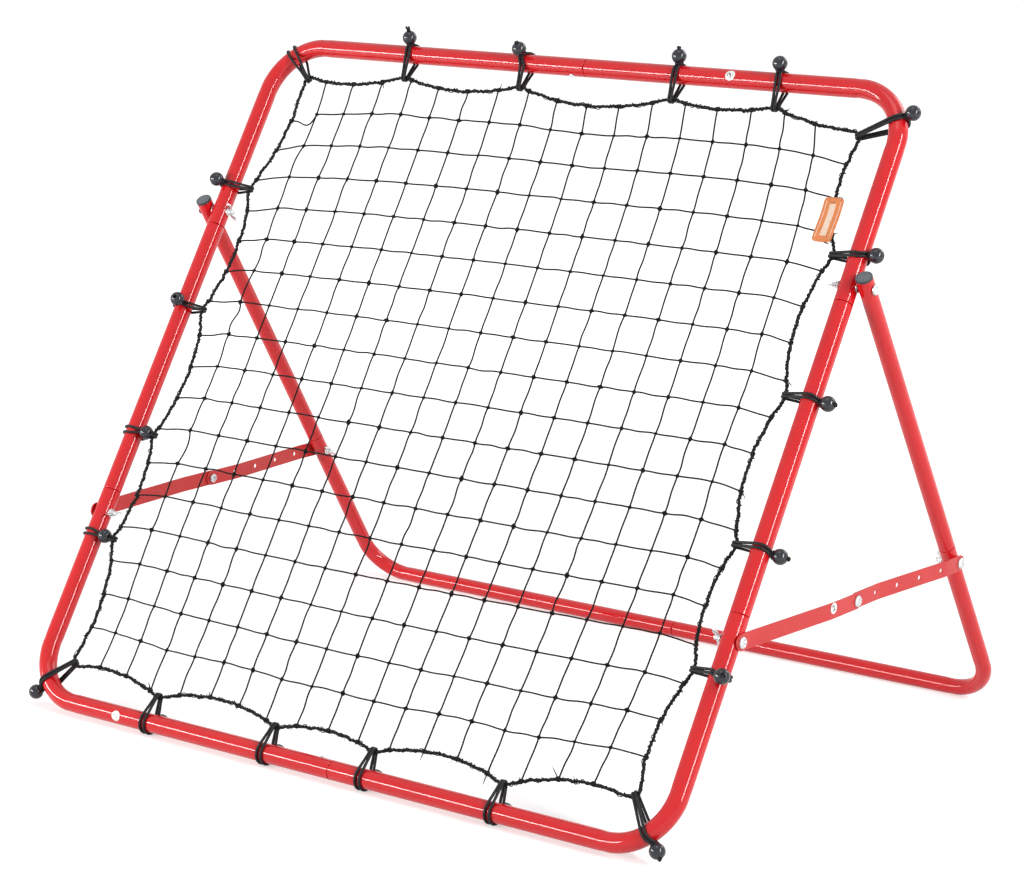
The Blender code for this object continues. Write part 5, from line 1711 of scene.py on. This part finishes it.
    def build(self) -> None:
        """The two cords, the ball, the bight round its neck and what shows in its outer hole."""
        builder = MeshBuilder()
        for sense in (-1, 1):
            line, length = self.cord_line(sense)
            cord = cord_grid(line, self.cord_radius, ALONG, 12, closed=True)
            builder.add(self.out(cord), closed_rows=True, length=length)
        spindle = self.ball_spindle()
        builder.add(spindle.turn(self.ball_profile(), 40), finish=1)
        turn = FULL_TURN * np.arange(28) / 28
        neck = spindle.ring(turn, self.neck_ring, self.neck_sink - self.ball_radius)
        builder.add(cord_grid(neck, self.cord_radius * self.thin_share, spindle.axis, 8, closed=True),
                    closed_rows=True, length=self.neck_length)
        if self.place.tie.end in (BallEnd.KNOT, BallEnd.TAILS):
            for line in self.knot_lines(spindle):
                builder.add(self.capped(line), length=0.012)
        name = self.place.tie.name
        finishes = (ELASTIC.material(), BALL_BLACK.material())
        piece = builder.made(f"tie_{name}_elastic", *finishes, weld=1e-7, sharp=50)
        settle(piece, f"ball_tie_{name}")


@dataclass
class Tag:
    """A woven tag that hangs in front of the border rope, tied at both ends."""

    placement: Placement
    border: Array
    width: float = 0.026
    length: float = 0.058
    thickness: float = 0.0006
    height: float = 0.776
    rope_inset: float = 0.0075
    stand_off: float = 0.0032
    ripple: float = 0.0007
    corner: float = 0.0045
    panel_half: float = 0.0042
    stripe_at: float = 0.0095
    stripe_half: float = 0.0004
    panel_share: float = 0.36
    stripe_share: float = 0.42
    orange: Color = (0.74, 0.24, 0.075)
    deep_orange: Color = (0.66, 0.19, 0.05)
    printed: Color = (0.86, 0.72, 0.58)
    print_cover: float = 0.82
    weave_pitch: float = 0.0006
    rows: int = 56
    columns: int = 22
    thread_radius: float = 0.00055
    thread_reach: float = 0.0027
    thread_from_end: float = 0.0005
    thread_off: float = 0.0006

    def rope_x(self) -> float:
        """X of the border rope behind the tag."""
        right = self.border[self.border[:, 0] > SIZES.half_width / 2]
        right = right[np.argsort(right[:, 1])]
        return float(np.interp(self.height, right[:, 1], right[:, 0]))

    def material(self) -> bpy.types.Material:
        """Orange weave with a paler panel and a stitched line; the map holds metres across and along."""
        material, wiring, shader = new_material("tag_weave", Roughness=0.7, Sheen_Weight=0.2)
        place = wiring.node("TexCoord").outputs["UV"]
        parts = wiring.node("SeparateXYZ", {0: place})

        def off(value: bpy.types.NodeSocket, middle: float) -> bpy.types.NodeSocket:
            """How far a value is from a middle."""
            return wiring.math("ABSOLUTE", wiring.math("SUBTRACT", value, middle))

        def within(value: bpy.types.NodeSocket, reach: float) -> bpy.types.NodeSocket:
            """1 where a value is less than the reach."""
            return wiring.math("LESS_THAN", value, reach)

        threads = FULL_TURN / self.weave_pitch
        waves = [wiring.math("SINE", wiring.math("MULTIPLY", value, threads)) for value in parts.outputs[:2]]
        weave = wiring.math("MULTIPLY", *waves)
        off_middle, off_end = off(parts.outputs[0], self.width / 2), off(parts.outputs[1], self.length / 2)
        panel = wiring.math("MULTIPLY", within(off_middle, self.panel_half),
                            within(off_end, self.length * self.panel_share))
        stripe = wiring.math("MULTIPLY", within(off(off_middle, self.stripe_at), self.stripe_half),
                             within(off_end, self.length * self.stripe_share))
        noise = wiring.node("TexNoise", {"Vector": place, "Scale": 260.0, "Detail": 3.0})
        base = wiring.mix(noise.outputs["Fac"], opaque(self.orange), opaque(self.deep_orange))
        pale = wiring.math("MULTIPLY", wiring.math("MAXIMUM", panel, stripe), self.print_cover)
        bump = wiring.node("Bump", {"Height": weave, "Strength": 0.35, "Distance": 0.0003})
        wiring.feed(shader, {"Base Color": wiring.mix(pale, base, opaque(self.printed)),
                             "Normal": bump.outputs[0]})
        return material

    def cloth(self, rope_x: float) -> bpy.types.Object:
        """The cloth: a grid that ripples out of the net's plane and is drawn in at its rounded corners.

        Out of the plane it goes stand off + ripple * sin along the length + half of it across.
        """
        along, across = np.linspace(0, 1, self.rows), np.linspace(0, 1, self.columns)
        v, u = np.meshgrid(along, across, indexing="ij")
        into_corner = np.clip(self.corner - np.minimum(v, 1 - v) * self.length, 0, None)
        drawn = self.corner - np.sqrt(np.clip(self.corner ** 2 - into_corner ** 2, 0, None))
        x = rope_x + self.rope_inset - self.width / 2 + (u - 0.5) * 2 * (self.width / 2 - drawn)
        y = self.height + (v - 0.5) * self.length
        z = self.stand_off + self.ripple * (np.sin(7 * v + 0.6) + 0.5 * np.sin(9 * u + 3 * v))
        points = self.placement.out(np.stack([x, y, z], axis=-1))
        index = np.arange(v.size).reshape(v.shape)
        faces = np.stack([index[:-1, :-1], index[:-1, 1:], index[1:, 1:], index[1:, :-1]], axis=-1)
        faces = faces.reshape(-1, 4)
        mesh = bpy.data.meshes.new("tag_cloth")
        mesh.from_pydata(points.reshape(-1, 3).tolist(), [], faces.tolist())
        coords = np.stack([u * self.width, v * self.length], axis=-1).reshape(-1, 2)
        mesh.uv_layers.new(name="surface").data.foreach_set("uv", coords[faces.ravel()].ravel())
        mesh.materials.append(self.material())
        mesh.shade_smooth()
        piece = in_scene("tag_cloth", mesh)
        thicken(piece, self.thickness)
        return piece

    def threads(self, rope_x: float) -> bpy.types.Object:
        """A loop of black thread through each end of the tag and round the rope."""
        builder = MeshBuilder()
        turn = np.linspace(0, FULL_TURN, 30, endpoint=False)[:, None]
        reach = self.thread_reach
        for end in (1, -1):
            middle = np.array([rope_x + self.thread_off,
                               self.height + end * (self.length / 2 - self.thread_from_end), self.thread_off])
            line = (middle + reach * np.cos(turn) * np.array([1.0, 0.25 * end, 0.0])
                    + (reach + 0.0012) * np.sin(turn) * np.array([0.1, 0.35 * end, 1.0]))
            loop = cord_grid(line, self.thread_radius, ALONG, 6, closed=True)
            builder.add(self.placement.out(loop), closed_rows=True, length=0.02)
        return builder.made("tag_threads", STRAND.material(), **CORD_MESH)

    def build(self) -> None:
        """Hang the tag on the rope."""
        rope_x = self.rope_x()
        piece = settle(self.cloth(rope_x), "net_tag")
        threads = self.threads(rope_x)
        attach(threads, "front_frame")


@dataclass
class Sticker:
    """A round number sticker on a tube or on a flat bar."""

    name: str
    digit: str
    placement: Placement
    middle: Point
    along: Point
    facing: Point
    body: str
    curve: float
    turn: float
    radius: float = 0.0068
    lift: float = 0.00012
    digit_size: float = 1.6
    digit_bold: float = 0.03
    digit_lift: float = 1.6

    def mapped(self, flat: Array, lift: float) -> Array:
        """Wrap flat points round the surface.

        A point (a, b) goes to middle + a * along + (R + lift) * (cos(b / R) * facing + sin(b / R) * side)
        on a round of radius R, and to middle + a * along + b * side + lift * facing on a flat bar.
        """
        along, facing = unit(np.array(self.along)), unit(np.array(self.facing))
        side = np.cross(facing, along)
        a, b = flat[..., :1], flat[..., 1:2]
        start = np.array(self.middle) + a * along
        if self.curve == 0:
            return self.placement.out(start + b * side + lift * facing)
        bent = b / self.curve
        return self.placement.out(start + (self.curve + lift) * (np.cos(bent) * facing + np.sin(bent) * side))

    def figure(self) -> bpy.types.Mesh:
        """The digit from the built-in font, as a mesh in the flat."""
        text = bpy.data.curves.new(self.name + "_text", "FONT")
        text.body = self.digit
        text.size = self.radius * self.digit_size
        text.offset = self.radius * self.digit_bold
        text.align_x = "CENTER"
        text.align_y = "CENTER"
        holder = in_scene(self.name + "_text", text)
        graph = bpy.context.evaluated_depsgraph_get()
        mesh = bpy.data.meshes.new_from_object(holder.evaluated_get(graph))
        bpy.data.objects.remove(holder)
        return mesh

    def build(self) -> None:
        """The disc, softened at its rim, with the digit just above it."""
        builder = MeshBuilder()
        share = np.concatenate([[1.0, 1.0], np.linspace(0.97, 0, 9)])
        lifts = np.concatenate([[0.0], np.full(10, self.lift)])
        flat = circle(40)[None] * (share * self.radius)[:, None, None]
        builder.add(np.stack([self.mapped(row, lift) for row, lift in zip(flat, lifts)]))
        disc = builder.made(self.name, STICKER_WHITE.material(), sharp=60)
        mesh = self.figure()
        flat = np.zeros(len(mesh.vertices) * 3)
        mesh.vertices.foreach_get("co", flat)
        cos, sin = heading(np.radians(self.turn))
        flat = flat.reshape(-1, 3)[:, :2] @ np.array([[cos, sin], [-sin, cos]])
        mesh.vertices.foreach_set("co", self.mapped(flat, self.lift * self.digit_lift).ravel())
        mesh.materials.clear()
        mesh.materials.append(STICKER_INK.material())
        for piece in (disc, in_scene(self.name + "_digit", mesh)):
            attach(piece, self.body)
        LOG.info("%s shows %s", self.name, self.digit)


def aimed(place: Vector, back: Vector, upright: Vector, roll: float = 0.0) -> Matrix:
    """The world matrix of a camera or lamp.

    Args:
        place: Where it stands.
        back: Unit vector from what it looks at towards it.
        upright: The way that its height follows.
        roll: Turn about its own axis, in degrees.

    Returns:
        The matrix.
    """
    across = upright.cross(back).normalized()
    turned = Matrix((across, back.cross(across), back)).transposed()
    turned = turned @ Matrix.Rotation(math.radians(roll), 3, "Z")
    return Matrix.Translation(place) @ turned.to_4x4()


@dataclass
class PhotoCamera:
    """The photograph's camera: a turntable position about a target, with a small roll."""

    azimuth: float = 36.58239
    elevation: float = 13.37881
    roll: float = -0.187154
    distance: float = 4.052385
    target: Point = (-0.170696, 0.250517, 0.272486)
    focal_px: float = 2942.914
    image_width_px: int = 1024
    sensor_mm: float = 36.0
    clip_end: float = 60.0

    def build(self) -> None:
        """Place the camera and make it the scene's."""
        azimuth, elevation = math.radians(self.azimuth), math.radians(self.elevation)
        back = Vector((math.sin(azimuth) * math.cos(elevation), -math.cos(azimuth) * math.cos(elevation),
                       math.sin(elevation)))
        lens = bpy.data.cameras.new("photo_camera")
        lens.sensor_width = self.sensor_mm
        lens.lens = self.focal_px / self.image_width_px * self.sensor_mm
        lens.clip_end = self.clip_end
        camera = in_scene("photo_camera", lens)
        place = Vector(self.target) + back * self.distance
        camera.matrix_world = aimed(place, back, Vector((0, 0, 1)), self.roll)
        bpy.context.scene.camera = camera


@dataclass(frozen=True)
class Lamp:
    """One area lamp: where it stands, what it looks at, its size, its power in watts and its height's way."""

    name: str
    place: Point
    target: Point
    size: tuple[float, float]
    power: float
    height_way: Point = (0.0, 0.0, 1.0)

    def build(self) -> None:
        """Hang the lamp, unseen by the camera itself."""
        light = bpy.data.lights.new(self.name, "AREA")
        light.shape = "RECTANGLE"
        light.size, light.size_y = self.size
        light.energy = self.power
        lamp = in_scene(self.name, light)
        back = (Vector(self.place) - Vector(self.target)).normalized()
        lamp.matrix_world = aimed(Vector(self.place), back, Vector(self.height_way))
        lamp.visible_camera = False


@dataclass
class Studio:
    """A pale floor, a white surround and soft lamps."""

    floor_half: float = 30.0
    floor_color: Color = (0.8, 0.8, 0.8)
    floor_lift: float = 0.48
    far_lift: float = 0.9
    far_from: float = 0.9
    far_to: float = 2.6
    surround: float = 0.27
    lamps: tuple[Lamp, ...] = (
        Lamp("key", (0.3, -0.8, 4.6), (0.0, 0.0, 0.4), (2.0, 2.0), 22),
        Lamp("rail_strip", (-2.4, -3.0, 1.0), (0.0, 0.0, 0.45), (3.2, 0.5), 125),
        Lamp("side_strip", (3.75, -0.35, 2.0), (0.2, 0.0, 0.45), (0.5, 3.0), 125, (0.0, 0.554, 0.833)),
        Lamp("back_fill", (1.5, 3.6, 2.6), (0.0, 0.0, 0.4), (2.4, 2.0), 45),
    )

    def seen_share(self, wiring: Wiring) -> bpy.types.NodeSocket:
        """1 for rays from the camera, or through gloss or glass, and 0 for light on the object."""
        path = wiring.node("LightPath")
        share = wiring.math("MAXIMUM", path.outputs["Is Camera Ray"], path.outputs["Is Glossy Ray"])
        return wiring.math("MAXIMUM", share, path.outputs["Is Transmission Ray"])

    def build_floor(self) -> None:
        """A plain floor that keeps the shadow, lifted to white where the camera sees it, and more far off."""
        material = bpy.data.materials.new("pale_floor")
        material.use_nodes = True
        wiring = Wiring(material.node_tree)
        wiring.tree.nodes.remove(wiring.tree.nodes["Principled BSDF"])
        matt = wiring.node("BsdfDiffuse", {"Color": opaque(self.floor_color)})
        far = wiring.node("VectorMath", {0: wiring.node("TexCoord").outputs["Object"]}, operation="LENGTH")
        lift = wiring.node("MapRange", {"Value": far.outputs["Value"], "From Min": self.far_from,
                                        "From Max": self.far_to, "To Min": self.floor_lift,
                                        "To Max": self.far_lift}, interpolation_type="SMOOTHSTEP")
        strength = wiring.math("MULTIPLY", self.seen_share(wiring), lift.outputs[0])
        glow = wiring.node("Emission", {"Strength": strength})
        both = wiring.node("AddShader", {0: matt.outputs[0], 1: glow.outputs[0]})
        wiring.feed(wiring.tree.nodes["Material Output"], {"Surface": both.outputs[0]})
        builder = MeshBuilder()
        edge = np.array([-self.floor_half, self.floor_half])
        builder.add(raised(np.stack(np.meshgrid(edge, edge), axis=-1)), closed_columns=False)
        floor = builder.made("floor", material)

    def build_surround(self) -> None:
        """A white world to the eye and in reflections, and a plain level of light on the object."""
        world = bpy.data.worlds.new("surround")
        bpy.context.scene.world = world
        world.use_nodes = True
        wiring = Wiring(world.node_tree)
        extra = wiring.math("MULTIPLY", self.seen_share(wiring), 1.0 - self.surround)
        wiring.feed(wiring.tree.nodes["Background"], {"Color": (1.0, 1.0, 1.0, 1.0),
                                                      "Strength": wiring.math("ADD", extra, self.surround)})

    def build(self) -> None:
        """Build floor, surround and lamps."""
        bpy.context.scene.view_settings.view_transform = "Standard"
        self.build_floor()
        self.build_surround()
        for lamp in self.lamps:
            lamp.build()


def stay_places() -> tuple[float, float, float]:
    """X of the legs and of the bars' inner faces at the side tubes and at the legs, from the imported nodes."""
    leg_low, leg_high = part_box("rear_leg_right")
    front_low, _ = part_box("stay_front_bar_right")
    _, rear_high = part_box("stay_rear_bar_right")
    return (leg_low[0] + leg_high[0]) / 2, front_low[0], rear_high[0] - Stays.thickness


def stickers(layout: Layout, inner_front: float) -> list[Sticker]:
    """The three number stickers: on the top rail, on the bottom rail and on the right front bar."""
    on_bar = inner_front + Stays.elbow_out + Stays.thickness
    return [
        Sticker("number_two", "2", layout.front, (0.2386, SIZES.front_height, 0.0), (1, 0, 0),
                (0, -0.07, 1.0), "front_frame", SIZES.front_radius, 62),
        Sticker("number_one", "1", layout.front, (-0.329, 0.0, 0.0), (1, 0, 0), (0, -0.35, 0.94),
                "front_frame", SIZES.front_radius, 70),
        Sticker("number_stay", "2", layout.front_stay, (on_bar, 0.181, 0.003), (0, 1, 0), (1, 0, 0),
                "front_stay_right", 0.0, 25),
    ]


def main() -> None:
    """Build every sub-assembly in order."""
    logging.basicConfig(level=logging.INFO, format="%(message)s")
    PhotoCamera().build()
    Studio().build()
    layout = Layout.from_joints(Stays.length)
    leg_x, inner_front, inner_rear = stay_places()
    FrontFrame(layout.front).build()
    RearFrame(layout.rear, leg_x).build()
    Stays(layout, leg_x, inner_front, inner_rear, Hardware()).build()
    ties = TieMap().places()
    border = Net(layout.front, NetLayout(ties)).build()
    for place in ties.values():
        BallTie(layout.front, place).build()
    Tag(layout.front, border).build()
    for sticker in stickers(layout, inner_front):
        sticker.build()
    bpy.context.view_layer.update()


if __name__ == "__main__":
    main()
